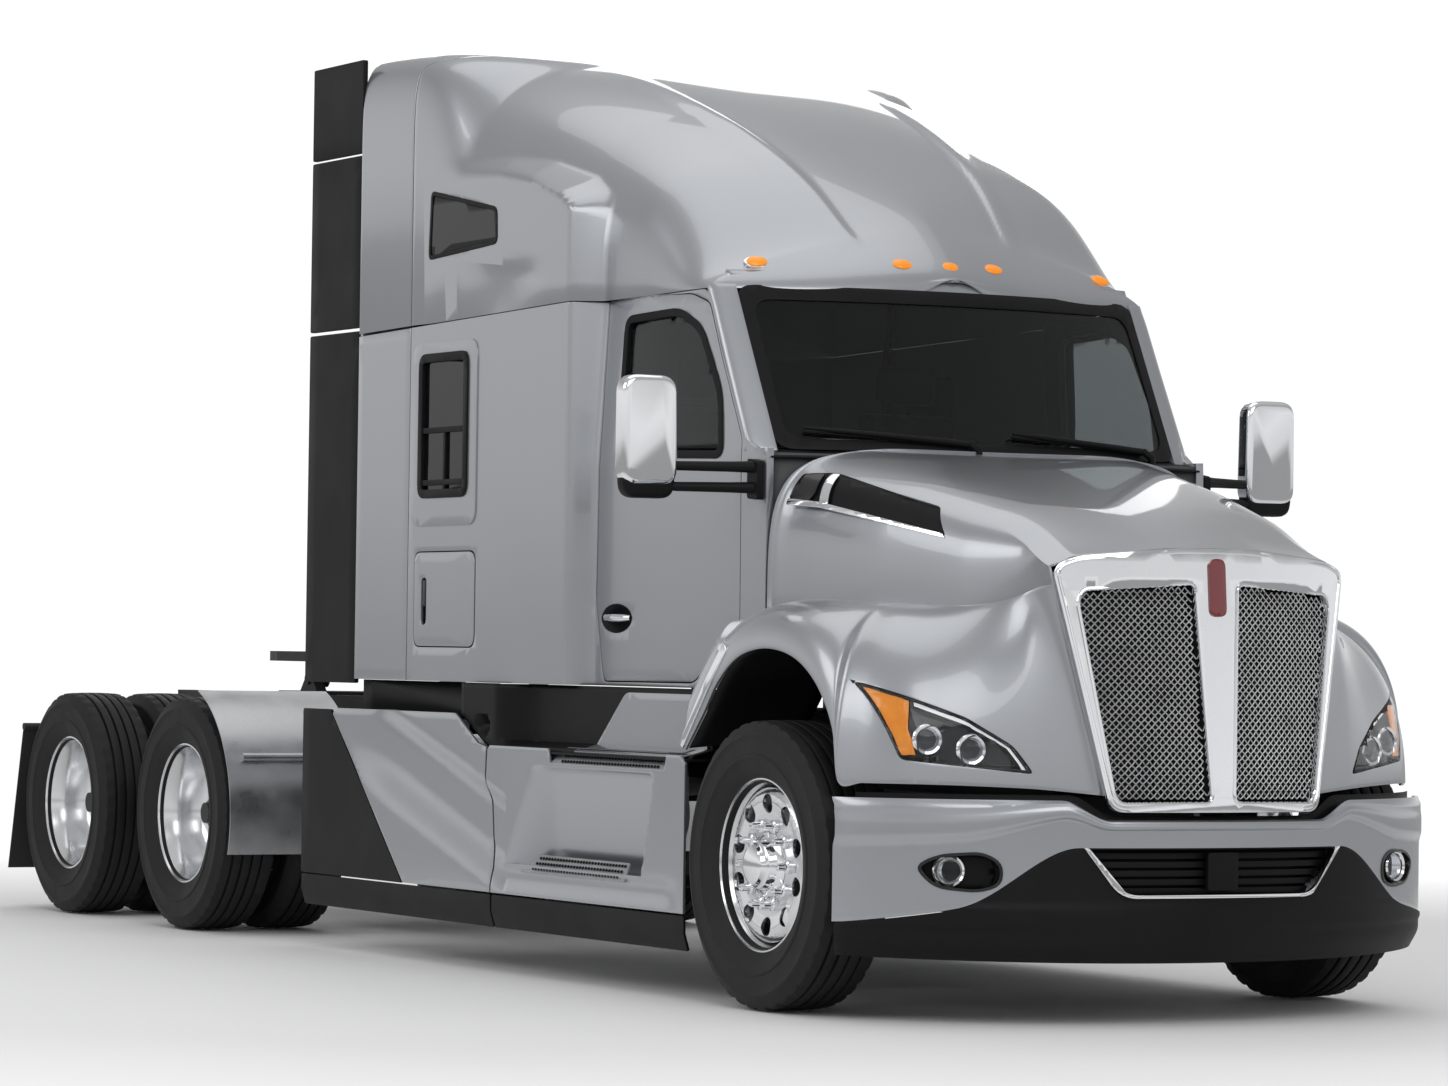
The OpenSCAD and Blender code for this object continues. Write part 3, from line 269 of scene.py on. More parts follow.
def woven(name, tone_a, tone_b, pitch):
    """Cloth: two crossing sets of threads over the grain."""
    material = finish(name, tone_a, tone_b, 1200, 5, (0.85, 0.95), 0.3, 0.0005, Sheen_Weight=0.3)
    nodes, links = material.node_tree.nodes, material.node_tree.links
    place = nodes.new("ShaderNodeTexCoord")
    heights = []
    for direction in ("X", "Y"):
        wave = nodes.new("ShaderNodeTexWave")
        wave.bands_direction = direction
        wave.inputs["Scale"].default_value = 1 / pitch / 3
        wave.inputs["Distortion"].default_value = 0.6
        links.new(place.outputs["Object"], wave.inputs["Vector"])
        heights.append(wave.outputs["Fac"])
    both = nodes.new("ShaderNodeMath")
    both.operation = "MAXIMUM"
    links.new(heights[0], both.inputs[0])
    links.new(heights[1], both.inputs[1])
    bump = nodes.new("ShaderNodeBump")
    bump.inputs["Strength"].default_value = 0.5
    bump.inputs["Distance"].default_value = 0.001
    links.new(both.outputs[0], bump.inputs["Height"])
    links.new(bump.outputs["Normal"], nodes["Principled BSDF"].inputs["Normal"])
    return material


SEAT_CLOTH = woven("seat_cloth", (0.035, 0.036, 0.04), (0.06, 0.062, 0.068), 0.003)
BEDDING = woven("bedding", (0.28, 0.29, 0.31), (0.36, 0.37, 0.39), 0.004)

SLOT_OF = {"silver_paint": PAINT, "frame_paint": FRAME_PAINT, "forged_steel": CAST, "polished_alloy": ALLOY,
           "tread_alloy": TREAD_ALLOY, "bright_chrome": CHROME, "tyre_rubber": TYRE, "flap_rubber": FLAP,
           "black_plastic": BLACK_PLASTIC, "gloss_black": GLOSS_BLACK, "cabin_trim": TRIM,
           "seat_cloth": SEAT_CLOTH,
           "bedding": BEDDING, "tinted_glass": GLASS, "lamp_lens": LENS, "zinc_steel": ZINC}
SLOT_NAME = {material.name: slot for slot, material in SLOT_OF.items()}
SLOT_NAME.update({"cabin_lining": "cabin_trim", "dark_glass": "tinted_glass", "amber_lens": "lamp_lens",
                  "red_lens": "lamp_lens", "grille_wire": "black_plastic", "badge_enamel": "gloss_black",
                  "light_strip": "lamp_lens"})
for entry in frame["record"]["subparts"]:
    node = frame["nodes"][entry["node"]]
    node.data.materials.clear()
    node.data.materials.append(SLOT_OF[entry["material_slot"]])


# ---------------------------------------------------------------- pieces
def piece(name, bm, body, material, thick=0.0, edge=0.0, angle=35, stands_for=(), segments=2):
    """Turns a bmesh in the row frame into a finished piece on that body."""
    mesh = bpy.data.meshes.new(name)
    bm.to_mesh(mesh)
    bm.free()
    obj = bpy.data.objects.new(name, mesh)
    bpy.context.scene.collection.objects.link(obj)
    mesh.materials.append(material)
    mesh.shade_smooth()
    mesh.set_sharp_from_angle(angle=radians(angle))
    if thick:
        wall = obj.modifiers.new("wall", "SOLIDIFY")
        wall.thickness = thick
        wall.offset = -1
        wall.use_even_offset = False
    if edge:
        soft = obj.modifiers.new("edges", "BEVEL")
        soft.width = edge
        soft.segments = segments
        soft.limit_method = "ANGLE"
        soft.angle_limit = radians(40)
        soft.harden_normals = False
    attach(obj, body)
    if stands_for:
        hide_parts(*stands_for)
    return obj


def turned_out(bm, direction):
    """An open surface with its faces turned to look along a direction."""
    bm.normal_update()
    total = sum((f.normal * f.calc_area() for f in bm.faces), Vector())
    if total.dot(Vector(direction)) < 0:
        bmesh.ops.reverse_faces(bm, faces=bm.faces[:])
    return bm


def closed(bm):
    """Merges doubles and turns the faces of a closed shape outwards."""
    bmesh.ops.remove_doubles(bm, verts=bm.verts[:], dist=1e-6)
    bmesh.ops.recalc_face_normals(bm, faces=bm.faces[:])
    return bm


def flat_grid(u0, u1, v0, v1, across, up):
    bm = bmesh.new()
    bmesh.ops.create_grid(bm, x_segments=across, y_segments=up, size=0.5)
    for v in bm.verts:
        v.co = (mix(u0, u1, v.co.x + 0.5), mix(v0, v1, v.co.y + 0.5), 0)
    return bm


def carve(bm, outline, keep_inside, axes=(0, 1), test=None):
    """Cuts the mesh along an outline drawn on two axes, and deletes what lies on one side of it."""
    a, b = axes
    c = 3 - a - b
    low = [min(p[k] for p in outline) - 0.03 for k in (0, 1)]
    high = [max(p[k] for p in outline) + 0.03 for k in (0, 1)]

    def near(face):
        if test and not test(face.calc_center_median()):
            return False
        if keep_inside:
            return True
        xs = [v.co[a] for v in face.verts]
        ys = [v.co[b] for v in face.verts]
        return max(xs) >= low[0] and min(xs) <= high[0] and max(ys) >= low[1] and min(ys) <= high[1]

    for (x0, y0), (x1, y1) in zip(outline, outline[1:] + outline[:1]):
        if hypot(x1 - x0, y1 - y0) < 1e-6:
            continue
        co, no = [0, 0, 0], [0, 0, 0]
        co[a], co[b] = x0, y0
        no[a], no[b] = y1 - y0, x0 - x1
        faces = [f for f in bm.faces if near(f)]
        geom = list({v for f in faces for v in f.verts}) + list({e for f in faces for e in f.edges}) + faces
        bmesh.ops.bisect_plane(bm, geom=geom, dist=1e-6, plane_co=co, plane_no=no)
    doomed = []
    for f in bm.faces:
        middle = f.calc_center_median()
        if test and not test(middle):
            continue
        if inside(middle[a], middle[b], outline) != keep_inside:
            doomed.append(f)
    bmesh.ops.delete(bm, geom=doomed, context="FACES")
    return bm


def drape(bm, surface):
    for v in bm.verts:
        v.co = surface(v.co.x, v.co.y)
    return bm


def panel(outline, surface, direction, step=0.03, holes=(), also=((), ())):
    """A sheet cut to an outline with holes, scored into small faces and laid on a surface."""
    bm = bmesh.new()
    for loop in (outline, *holes):
        verts = [bm.verts.new((x, y, 0)) for x, y in loop]
        for a, b in zip(verts, verts[1:] + verts[:1]):
            bm.edges.new((a, b))
    bmesh.ops.triangle_fill(bm, use_beauty=True, edges=bm.edges[:])
    for axis in (0, 1):
        low, high = min(p[axis] for p in outline), max(p[axis] for p in outline)
        count = max(1, round((high - low) / step))
        places = sorted([mix(low, high, i / count) for i in range(1, count)] + list(also[axis]))
        for place in places:
            co, no = [0, 0, 0], [0, 0, 0]
            co[axis], no[axis] = place, 1
            bmesh.ops.bisect_plane(bm, geom=bm.verts[:] + bm.edges[:] + bm.faces[:], dist=1e-5, plane_co=co,
                                   plane_no=no)
    bmesh.ops.remove_doubles(bm, verts=bm.verts[:], dist=1e-4)
    drape(bm, surface)
    return turned_out(bm, direction)


def prism(outline, low, high, axis=0):
    """A solid from an outline on two axes, in X, Y, Z order, pushed along the third."""
    others = [k for k in range(3) if k != axis]
    bm = bmesh.new()
    verts = []
    for p in outline:
        co = [0, 0, 0]
        co[axis], co[others[0]], co[others[1]] = low, p[0], p[1]
        verts.append(bm.verts.new(co))
    face = bm.faces.new(verts)
    made = bmesh.ops.extrude_face_region(bm, geom=[face])
    move = Vector((0, 0, 0))
    move[axis] = high - low
    bmesh.ops.translate(bm, verts=[v for v in made["geom"] if isinstance(v, bmesh.types.BMVert)], vec=move)
    return closed(bm)


def brick(x, y, z):
    return prism(box_outline(x[0], x[1], y[0], y[1]), z[0], z[1], 2)


def spun(profile, steps, centre, axis=(1, 0, 0), ring=True):
    """Turns a profile of (radius, height) round an axis through centre; ring closes the profile itself."""
    bm = bmesh.new()
    axis = Vector(axis).normalized()
    out = axis.orthogonal().normalized()
    verts = [bm.verts.new(axis * h + out * r) for r, h in profile]
    pairs = list(zip(verts, verts[1:])) + ([(verts[-1], verts[0])] if ring else [])
    edges = [bm.edges.new(p) for p in pairs]
    bmesh.ops.spin(bm, geom=verts + edges, cent=(0, 0, 0), axis=axis, angle=2 * pi, steps=steps,
                   use_merge=True)
    closed(bm)
    bmesh.ops.translate(bm, verts=bm.verts[:], vec=centre)
    return bm


def tube(points, radius, sides=10, cap=True):
    """A round bar along a path."""
    bm = bmesh.new()
    path = [Vector(p) for p in points]
    rings = []
    up = Vector((0, 0, 1))
    for i, p in enumerate(path):
        way = (path[min(i + 1, len(path) - 1)] - path[max(i - 1, 0)]).normalized()
        side = way.cross(up if abs(way.z) < 0.95 else Vector((1, 0, 0))).normalized()
        rise = side.cross(way)
        r = radius[i] if isinstance(radius, (list, tuple)) else radius
        made = bmesh.ops.create_circle(bm, segments=sides, radius=r)
        turn = Matrix((side, rise, way)).transposed().to_4x4()
        bmesh.ops.transform(bm, verts=made["verts"], matrix=Matrix.Translation(p) @ turn)
        rings.append(made["verts"])
    for a, b in zip(rings, rings[1:]):
        edges = [e for e in bm.edges if all(v in a for v in e.verts) or all(v in b for v in e.verts)]
        bmesh.ops.bridge_loops(bm, edges=edges)
    if cap:
        for ring in (rings[0], rings[-1]):
            bmesh.ops.contextual_create(bm, geom=ring)
    return closed(bm)


def joined(*parts):
    """Several meshes as one."""
    whole = bmesh.new()
    for part in parts:
        mesh = bpy.data.meshes.new("part")
        part.to_mesh(mesh)
        part.free()
        whole.from_mesh(mesh)
        bpy.data.meshes.remove(mesh)
    return whole


def mirrored(bm):
    """The mesh and its copy on the other side of the middle plane."""
    made = bmesh.ops.duplicate(bm, geom=bm.verts[:] + bm.edges[:] + bm.faces[:])
    verts = [g for g in made["geom"] if isinstance(g, bmesh.types.BMVert)]
    faces = [g for g in made["geom"] if isinstance(g, bmesh.types.BMFace)]
    for v in verts:
        v.co.x = -v.co.x
    bmesh.ops.reverse_faces(bm, faces=faces)
    return bm


def oval(centre, half_across, half_up):
    """An upright oval of 24 points."""
    turns = [t * pi / 12 for t in range(24)]
    return [(centre[0] + half_across * cos(t), centre[1] + half_up * sin(t)) for t in turns]


def at(x, f, z):
    """A point from its distance behind the bumper's nose."""
    return Vector((x, NOSE + f, z))


# ---------------------------------------------------------------- shapes of the body, in metres
CAB_X = 1.030
SLEEPER_X = 1.140
SEAM_Z = 2.600
ROOF_Z = 3.715
END = 4.700
SPLIT = 4.195


def cab_plan(f):
    return CAB_X - (CAB_X - 0.965) * max(0.0, (2.730 - f) / 1.010) ** 1.5


def side_half(f, z):
    return mix(cab_plan(f) - 0.06 * max(0.0, z - 1.970), SLEEPER_X, smooth((f - 2.735) / 0.06))


def seam(f):
    return SEAM_Z - 0.022 * (f - 2.040)


def screen_f(x, z):
    return 1.500 + 0.534 * (z - 2.020) + 0.150 * (abs(x) / 0.855) ** 2


def cowl_f(x):
    return 1.475 + 0.085 * (x / 0.950) ** 2


def roof_mid(f):
    t = clamp((f - 1.835) / (END - 1.835))
    return 2.665 + (ROOF_Z - 2.665) * (1 - (1 - t) ** 2) ** 0.79


def roof_power(f):
    return 1.4 + 2 * smooth((f - 2.0) / 0.5) + 1.6 * clamp((f - 2.9) / 1.8) + 9 * smooth((f - 3.7) / 0.5)


RIDGE = ((1.966, 0.346), (2.373, 0.415), (3.042, 0.495), (3.7, 0.54))
CREST = ((2.60, 2.86), (2.70, 2.93), (2.876, 3.03), (3.15, 3.11), (3.40, 3.147), (3.854, 3.167), (4.2, 3.17))


def roof_point(f, a):
    """The roof's skin: f along, a from 0 at one seam over the top to 180 at the other."""
    c, s = cos(radians(a)), sin(radians(a))
    width = side_half(2.005, 2.6) * max(0.0, (f - 1.825) / 0.180) ** 0.4 if f < 2.005 else \
        mix(side_half(min(f, 2.7), seam(f)), SLEEPER_X, smooth((f - 2.3) / 1.5))
    base = seam(max(f, 2.040))
    e = 2 / roof_power(f)
    x = width * abs(c) ** e
    z = base + (roof_mid(f) - base) * abs(s) ** e
    # Two ribs that fade forwards and back
    off = (x - along(RIDGE, f)) / 0.035
    rib = smooth(off + 1) - smooth((off - 0.2) / 2.5)
    z += 0.014 * smooth((f - 1.95) / 0.12) * smooth((3.75 - f) / 1.0) * rib
    # The sleeper's flank stands out below its crest
    flank = smooth((f - 2.72) / 0.07) * smooth((along(CREST, f) - z + 0.05) / 0.09)
    if f > 2.65:
        x = max(x, mix(x, SLEEPER_X - 0.001, flank))
    # A horizontal dart above the seam
    x -= 0.02 * smooth((f - 2.95) / 0.3) * smooth((3.75 - f) / 0.35) * max(0.0, 1 - abs(z - 2.70) / 0.05)
    return at(x if c >= 0 else -x, f, z)


def hood_half(f):
    return 0.610 + 0.245 * (f - 0.180)


def hood_mid(f):
    return 1.652 + 0.31 * (f - 0.130) - 0.04 * (f - 0.130) ** 2


def grille_f(x, z):
    return 0.021 + 0.0775 * (z - 0.763) + 0.28 * x * x


def surround_half(z):
    return 0.429 + 0.21 * (z - 0.729)


def hood_point(u, a, inset=0.0):
    """The hood's skin: u from the grille (0) to the cowl (1), a over it from side to side."""
    c, s = cos(radians(a)), sin(radians(a))
    f = mix(0.130, 1.552, u)
    x = (hood_half(f) - inset) * abs(c) ** 0.36
    lift = abs(s) ** 0.36
    f_at = mix(f, cowl_f(x) - 0.010, smooth((u - 0.6) / 0.4))
    z = 1.270 + (hood_mid(f_at) - inset - 1.270) * lift
    ridge = (x - mix(0.139, 0.129, u)) / 0.03
    z += 0.016 * (smooth(ridge + 1) - smooth(ridge * 0.6)) * (1 - 0.6 * u) * smooth(u / 0.1)
    # The front edge follows the grille's frame
    corner = 0.5 ** 0.18
    if abs(s) < abs(c):
        front_z = mix(1.270, 1.5616, lift / corner)
        front_x = surround_half(front_z)
    else:
        front_x = 0.604 * abs(c) ** 0.36 / corner
        front_z = along(((0, 1.634), (0.139, 1.634), (0.520, 1.600), (0.604, 1.5616)), front_x)
    near = 1 - smooth(u / 0.34)
    back = 1.42 * u
    front = (front_x + 0.003, grille_f(front_x, front_z) + 0.012 + back, front_z + 0.31 * back + 0.003)
    x, f_at, z = (mix(p, q, near) for p, q in zip((x, f_at, z), front))
    return at(x if c >= 0 else -x, f_at, z)


FENDER = [[0.465, 0.112, 0.790, 1.150, 0.235, 1.500], [0.660, 0.185, 0.805, 1.190, 0.300, 1.470],
          [0.835, 0.285, 0.812, 1.230, 0.430, 1.440], [0.960, 0.360, 0.815, 1.280, 0.560, 1.430],
          [1.060, 0.430, 0.816, 1.330, 0.680, 1.430], [1.140, 0.520, 0.816, 1.380, 0.780, 1.435],
          [1.185, 0.610, 0.816, 1.410, 0.860, 1.440], [1.195, 0.640, 1.000, 1.430, 0.900, 1.440],
          [1.200, 0.740, 1.145, 1.460, 0.960, 1.440], [1.200, 0.900, 1.238, 1.490, 1.050, 1.435],
          [1.200, 1.100, 1.270, 1.500, 1.180, 1.425], [1.200, 1.300, 1.240, 1.470, 1.320, 1.400],
          [1.200, 1.450, 1.150, 1.420, 1.450, 1.370], [1.200, 1.560, 1.030, 1.350, 1.560, 1.310],
          [1.200, 1.690, 0.900, 1.200, 1.640, 1.230]]


def fender_point(s, v):
    """The wing's skin: s along it from the grille to the cab, v from its foot to the hood."""
    x, f, foot, crest, top_f, top = curve_row(FENDER, s * (len(FENDER) - 1))
    top_x = hood_half(top_f) + 0.0005 if top_f < 1.455 else 1.055
    near = 1 - smooth(s / 0.075)
    edge_z = mix(0.785, 1.5, v)
    edge = (surround_half(edge_z) + 0.003, grille_f(surround_half(edge_z), edge_z) + 0.012 + 0.9 * s, edge_z)
    arcs = ((x, x, top_x), (f, f + 0.020, top_f), (foot, crest, top))
    body = (mix(mix(a, b, v), mix(b, c, v), v) for a, b, c in arcs)
    return at(*(mix(p, q, near) for p, q in zip(body, edge)))


def bumper_f(x):
    return 0.560 * (1 - max(0.0, 1 - min(1.0, abs(x) / 1.225) ** 2.2) ** 0.75)


def bumper_top(x):
    return 0.702 + 0.066 * smooth((abs(x) - 0.430) / 0.170)


def bumper_foot(x):
    return 0.608 - 0.215 * smooth((abs(x) - 0.540) / 0.420) - 0.050 * clamp((abs(x) - 0.940) / 0.280)


def bumper_point(x, v):
    """The bumper's face: v from its top (0) to its foot (1)."""
    roll = 0.018 * (1 - smooth(v / 0.07)) - 0.006 * smooth((v
                                                            - 0.1) / 0.1) + 0.014 * smooth((v - 0.30) / 0.10)
    return at(x, bumper_f(x) + 0.004 + roll, mix(bumper_top(x), bumper_foot(x), v))


def valance_point(x, v):
    """The black lower part: v from its top to its foot, curling under."""
    z = mix(bumper_foot(x) - 0.002, 0.213 + 0.01 * abs(x) ** 2, v)
    inset = 0.012 + 0.03 * smooth((0.3
                                   - z) / 0.1) - 0.010 * smooth((z - 0.32) / 0.02) * smooth((0.42 - z) / 0.02)
    return at(x * (1 - 0.02 * smooth((0.3 - z) / 0.1)), bumper_f(x) + inset, z)


# ---------------------------------------------------------------- hood, wings and grille
hood_bm = flat_grid(0, 1, 0, 180, 110, 120)
drape(hood_bm, hood_point)
VENT = [(1.490, 1.905), (1.380, 1.905), (0.800, 1.775), (0.700, 1.668), (1.490, 1.808)]
vent_y = [(NOSE + f, z) for f, z in rounded(VENT, 0.02, 3)]
for sign in (1, -1):
    carve(hood_bm, vent_y, False, (1, 2), lambda m, s=sign: m.x * s > 0.45)
piece("hood_skin", turned_out(hood_bm, (0, 0, 1)), "hood", PAINT, 0.008, 0.002, stands_for=("hood",))

LAMP = [(1.125, 1.165), (1.050, 0.897), (0.659, 0.854), (0.720, 0.950), (0.850, 1.045)]
for side, sign in SIDES:
    bm = flat_grid(0, 1, 0, 1, 150, 60)
    drape(bm, fender_point)
    carve(bm, rounded(LAMP, 0.02, 3), False, (0, 2), lambda m: m.y < NOSE + 0.75)
    bmesh.ops.scale(bm, verts=bm.verts[:], vec=(sign, 1, 1))
    turned_out(bm, (sign * 0.6, -0.4, 0.7))
    piece(f"wing_{side}", bm, "hood", PAINT, 0.010, 0.003, stands_for=("fenders",) if sign > 0 else ())


def liner_point(s, v):
    """The inside of the wheel arch."""
    x, f, foot = curve_row(FENDER, s * (len(FENDER) - 1))[:3]
    inner = max(0.62, x - 0.46)
    return at(mix(x - 0.012, min(inner, x - 0.02), v), f + mix(0.012, 0.04, v) * (1 if f < 1.1 else -1),
              foot + 0.006 + 0.04 * v)


liner = drape(flat_grid(5.4 / 14, 1, 0, 1, 60, 8), liner_point)
piece("arch_liners", mirrored(turned_out(liner, (0, 0, -1))), "hood", BLACK_PLASTIC, 0.004)

GRILLE_HOLE = [(0.090, 1.511), (0.500, 1.483), (0.518, 1.440), (0.412, 0.790), (0.390, 0.760), (0.048, 0.763)]
SURROUND = [(-0.429, 0.729), (0.429, 0.729), (0.604, 1.565), (0.520, 1.600), (0.139, 1.634), (-0.139, 1.634),
            (-0.520, 1.600), (-0.604, 1.565)]
holes = [rounded(GRILLE_HOLE, 0.03, 4), [(-x, z) for x, z in rounded(GRILLE_HOLE, 0.03, 4)]]
bm = panel(rounded(SURROUND, 0.05, 5), lambda x, z: at(x, grille_f(x, z) - 0.006, z), (0, -1, 0), 0.05, holes)
piece("grille_frame", bm, "hood", CHROME, 0.040, 0.004, stands_for=("grille_surround",))
lips = []
for sign in (1, -1):
    loop = [(sign * x, z) for x, z in rounded(grown(GRILLE_HOLE, 0.004), 0.034, 6)]
    lips.append(tube([at(x, grille_f(x, z) - 0.004, z) for x, z in loop + loop[:2]], 0.0075, 8))
loop = rounded(grown(SURROUND, -0.014), 0.045, 6)
lips.append(tube([at(x, grille_f(x, z) - 0.003, z) for x, z in loop + loop[:2]], 0.007, 8))
piece("grille_frame_lips", joined(*lips), "hood", CHROME)


def wire_mesh(outline, pitch, wire):
    """Crimped wires that cross at an angle, cut to the outline."""
    xs, zs = [p[0] for p in outline], [p[1] for p in outline]
    strips = []
    for turn in (1, -1):
        reach = (max(zs) - min(zs))
        offset = min(xs) - reach
        while offset < max(xs):
            points = []
            for i in range(int(reach / pitch * 2) + 1):
                z = min(zs) + i * pitch / 2
                x = offset + (z - min(zs)) * turn + (0 if turn > 0 else reach)
                if inside(x, z, outline):
                    points.append(at(x, grille_f(x, z) + 0.020 + wire * 0.8 * (1 if i % 2 else -1) * turn, z))
            if len(points) > 2:
                strips.append(tube(points, wire, 4))
            offset += pitch
    return joined(*strips)


for side, sign in SIDES:
    outline = [(sign * x, z) for x, z in GRILLE_HOLE]
    piece(f"grille_wires_{side}", wire_mesh(outline, 0.026, 0.0024), "hood", WIRE,
          stands_for=("grille_mesh",) if sign > 0 else (), angle=60)
back = panel(grown(SURROUND, -0.02), lambda x, z: at(x, grille_f(x, z) + 0.055, z), (0, -1, 0), 0.05)
piece("grille_backing", back, "hood", BLACK_PLASTIC, 0.004)
badge = rounded(box_outline(-0.034, 0.034, 1.400, 1.600), 0.03, 5)
piece("plain_badge", panel(badge, lambda x, z: at(x, grille_f(x, z) - 0.014, z), (0, -1, 0), 0.02), "hood",
      ENAMEL, 0.010, 0.003)

# Mesh and trim of the vents in the hood's sides


def vent_x(f, z):
    """The hood's flank where the vent lies."""
    h = clamp((z - 1.270) / (hood_mid(f) - 1.270), 0.01, 0.9999)
    s = h ** (1 / 0.36)
    return hood_half(f) * sqrt(max(0.0, 1 - s * s)) ** 0.36


for side, sign in SIDES:
    def on_flank(f, z, by=0.0, sign=sign):
        return at(sign * (vent_x(f, z) + by), f, z)
    outer = rounded(VENT, 0.02, 3)
    dark = panel(outer, lambda f, z: on_flank(f, z, -0.012), (sign, 0, 0.2), 0.03)
    piece(f"vent_mesh_{side}", dark, "hood", BLACK_PLASTIC, 0.004,
          stands_for=("hood_vents",) if sign > 0 else ())
    strips = [panel(rounded(o, 0.006, 3), lambda f, z: on_flank(f, z, 0.005), (sign, 0, 0.2), 0.012)
              for o in (
        [(0.700, 1.664), (0.716, 1.680), (1.330, 1.797), (1.490, 1.812), (1.490, 1.790), (1.330, 1.778)],
        [(1.330, 1.790), (1.290, 1.790), (1.335, 1.900), (1.375, 1.904)])]
    piece(f"vent_trim_{side}", joined(*strips), "hood", CHROME, 0.006, 0.002)
    plate = panel(rounded([(1.395, 1.800), (1.375, 1.830), (1.400, 1.903), (1.488, 1.903), (1.488, 1.812)],
                          0.01, 3),
                  lambda f, z: on_flank(f, z, 0.002), (sign, 0, 0.2), 0.02)
    piece(f"vent_blank_{side}", plate, "hood", GLOSS_BLACK, 0.006, 0.002)

# Headlamps
LENSES = (((0.960, 0.385, 0.967), 0.047), ((0.835, 0.322, 0.935), 0.047))


def fender_f(x, z):
    """The wing's face found by stepping along its rows."""
    best = None
    for i in range(0, 64):
        s = i / 63 * 0.5
        for k in range(0, 25):
            p = fender_point(s, k / 48)
            d = (p.x - x) ** 2 + (p.z - z) ** 2
            if best is None or d < best[0]:
                best = (d, p.y - NOSE)
    return best[1]


lamp_net = {}


def lamp_f(x, z):
    """The wing's face over the lamp, from a coarse table of it."""
    gx, gz = (x - 0.62) / 0.04, (z - 0.82) / 0.04
    i, k = int(gx), int(gz)
    for key in ((i, k), (i + 1, k), (i, k + 1), (i + 1, k + 1)):
        if key not in lamp_net:
            lamp_net[key] = fender_f(0.62 + key[0] * 0.04, 0.82 + key[1] * 0.04)
    s, t = gx - i, gz - k
    return mix(mix(lamp_net[i, k], lamp_net[i + 1, k], s),
               mix(lamp_net[i, k + 1], lamp_net[i + 1, k + 1], s), t)


for side, sign in SIDES:
    inner = rounded(grown(LAMP, -0.003), 0.02, 3)
    def lamp_at(x, z, by, sign=sign):
        return at(sign * x, lamp_f(x, z) + by, z)
    lens = panel(inner, lambda x, z: lamp_at(x, z, 0.001), (sign * 0.5, -1, 0), 0.03)
    piece(f"lamp_lens_{side}", lens, "hood", LENS, 0.003, stands_for=("headlamps",) if sign > 0 else ())
    pan = panel(inner, lambda x, z: lamp_at(x, z, 0.075), (sign * 0.5, -1, 0), 0.03)
    piece(f"lamp_pan_{side}", pan, "hood", GLOSS_BLACK, 0.004)
    rim = panel(grown(LAMP, 0.002), lambda x, z: lamp_at(x, z, 0.004), (sign * 0.5, -1, 0), 0.02,
                [grown(LAMP, -0.012)])
    piece(f"lamp_rim_{side}", rim, "hood", GLOSS_BLACK, 0.07)
    amber = panel([(1.118, 1.150), (1.055, 0.915), (1.000, 0.915), (1.015, 1.00), (1.000, 1.110)],
                  lambda x, z: lamp_at(x, z, 0.012), (sign * 0.5, -1, 0), 0.02)
    piece(f"lamp_amber_{side}", amber, "hood", AMBER, 0.006, 0.002)
    strip = panel([(0.990, 1.105), (0.990, 1.080), (0.850, 1.020), (0.735, 0.940), (0.690, 0.870),
                   (0.672, 0.868),
                   (0.722, 0.945), (0.848, 1.038)], lambda x, z: lamp_at(x, z, 0.010), (sign * 0.5, -1, 0),
                   0.02)
    piece(f"lamp_strip_{side}", strip, "hood", STRIP, 0.008, 0.002)
    rings, eyes, cones = [], [], []
    for (x, f, z), r in LENSES:
        depth = lamp_f(x, z)
        way = Vector((sign * 0.25, -1, 0))
        centre = at(sign * x, depth + 0.022, z)
        rings.append(spun([(r, -0.01), (r + 0.006, -0.01), (r + 0.007, 0.004), (r + 0.003, 0.010),
                           (r - 0.006, 0.006)],
                          40, centre, way))
        eyes.append(spun([(0, 0.012), (r * 0.45, 0.008), (r * 0.72, -0.002), (r * 0.72, -0.03), (0, -0.03)],
                         32, centre, way, False))
        cones.append(spun([(r - 0.002, 0.002), (r * 0.75, -0.025), (r * 0.75, -0.035), (r + 0.001, -0.035)],
                          32, centre, way))
    piece(f"lamp_rings_{side}", joined(*rings), "hood", CHROME)
    piece(f"lamp_eyes_{side}", joined(*eyes), "hood", LENS)
    piece(f"lamp_bowls_{side}", joined(*cones), "hood", ALLOY)

# ---------------------------------------------------------------- bumper
fog_outline = rounded([(0.790, 0.480), (0.790, 0.555), (0.850, 0.590), (0.975, 0.580), (1.040, 0.540),
                       (0.985, 0.468), (0.860, 0.455)], 0.04, 4)
bm = drape(flat_grid(-1.225, 1.225, 0, 1, 150, 34), bumper_point)
for sign in (1, -1):
    carve(bm, [(sign * x, z) for x, z in fog_outline], False, (0, 2), lambda m, s=sign: m.x * s > 0.5)
piece("bumper_skin", turned_out(bm, (0, -1, 0)), "chassis", PAINT, 0.010, 0.003, stands_for=("bumper",))

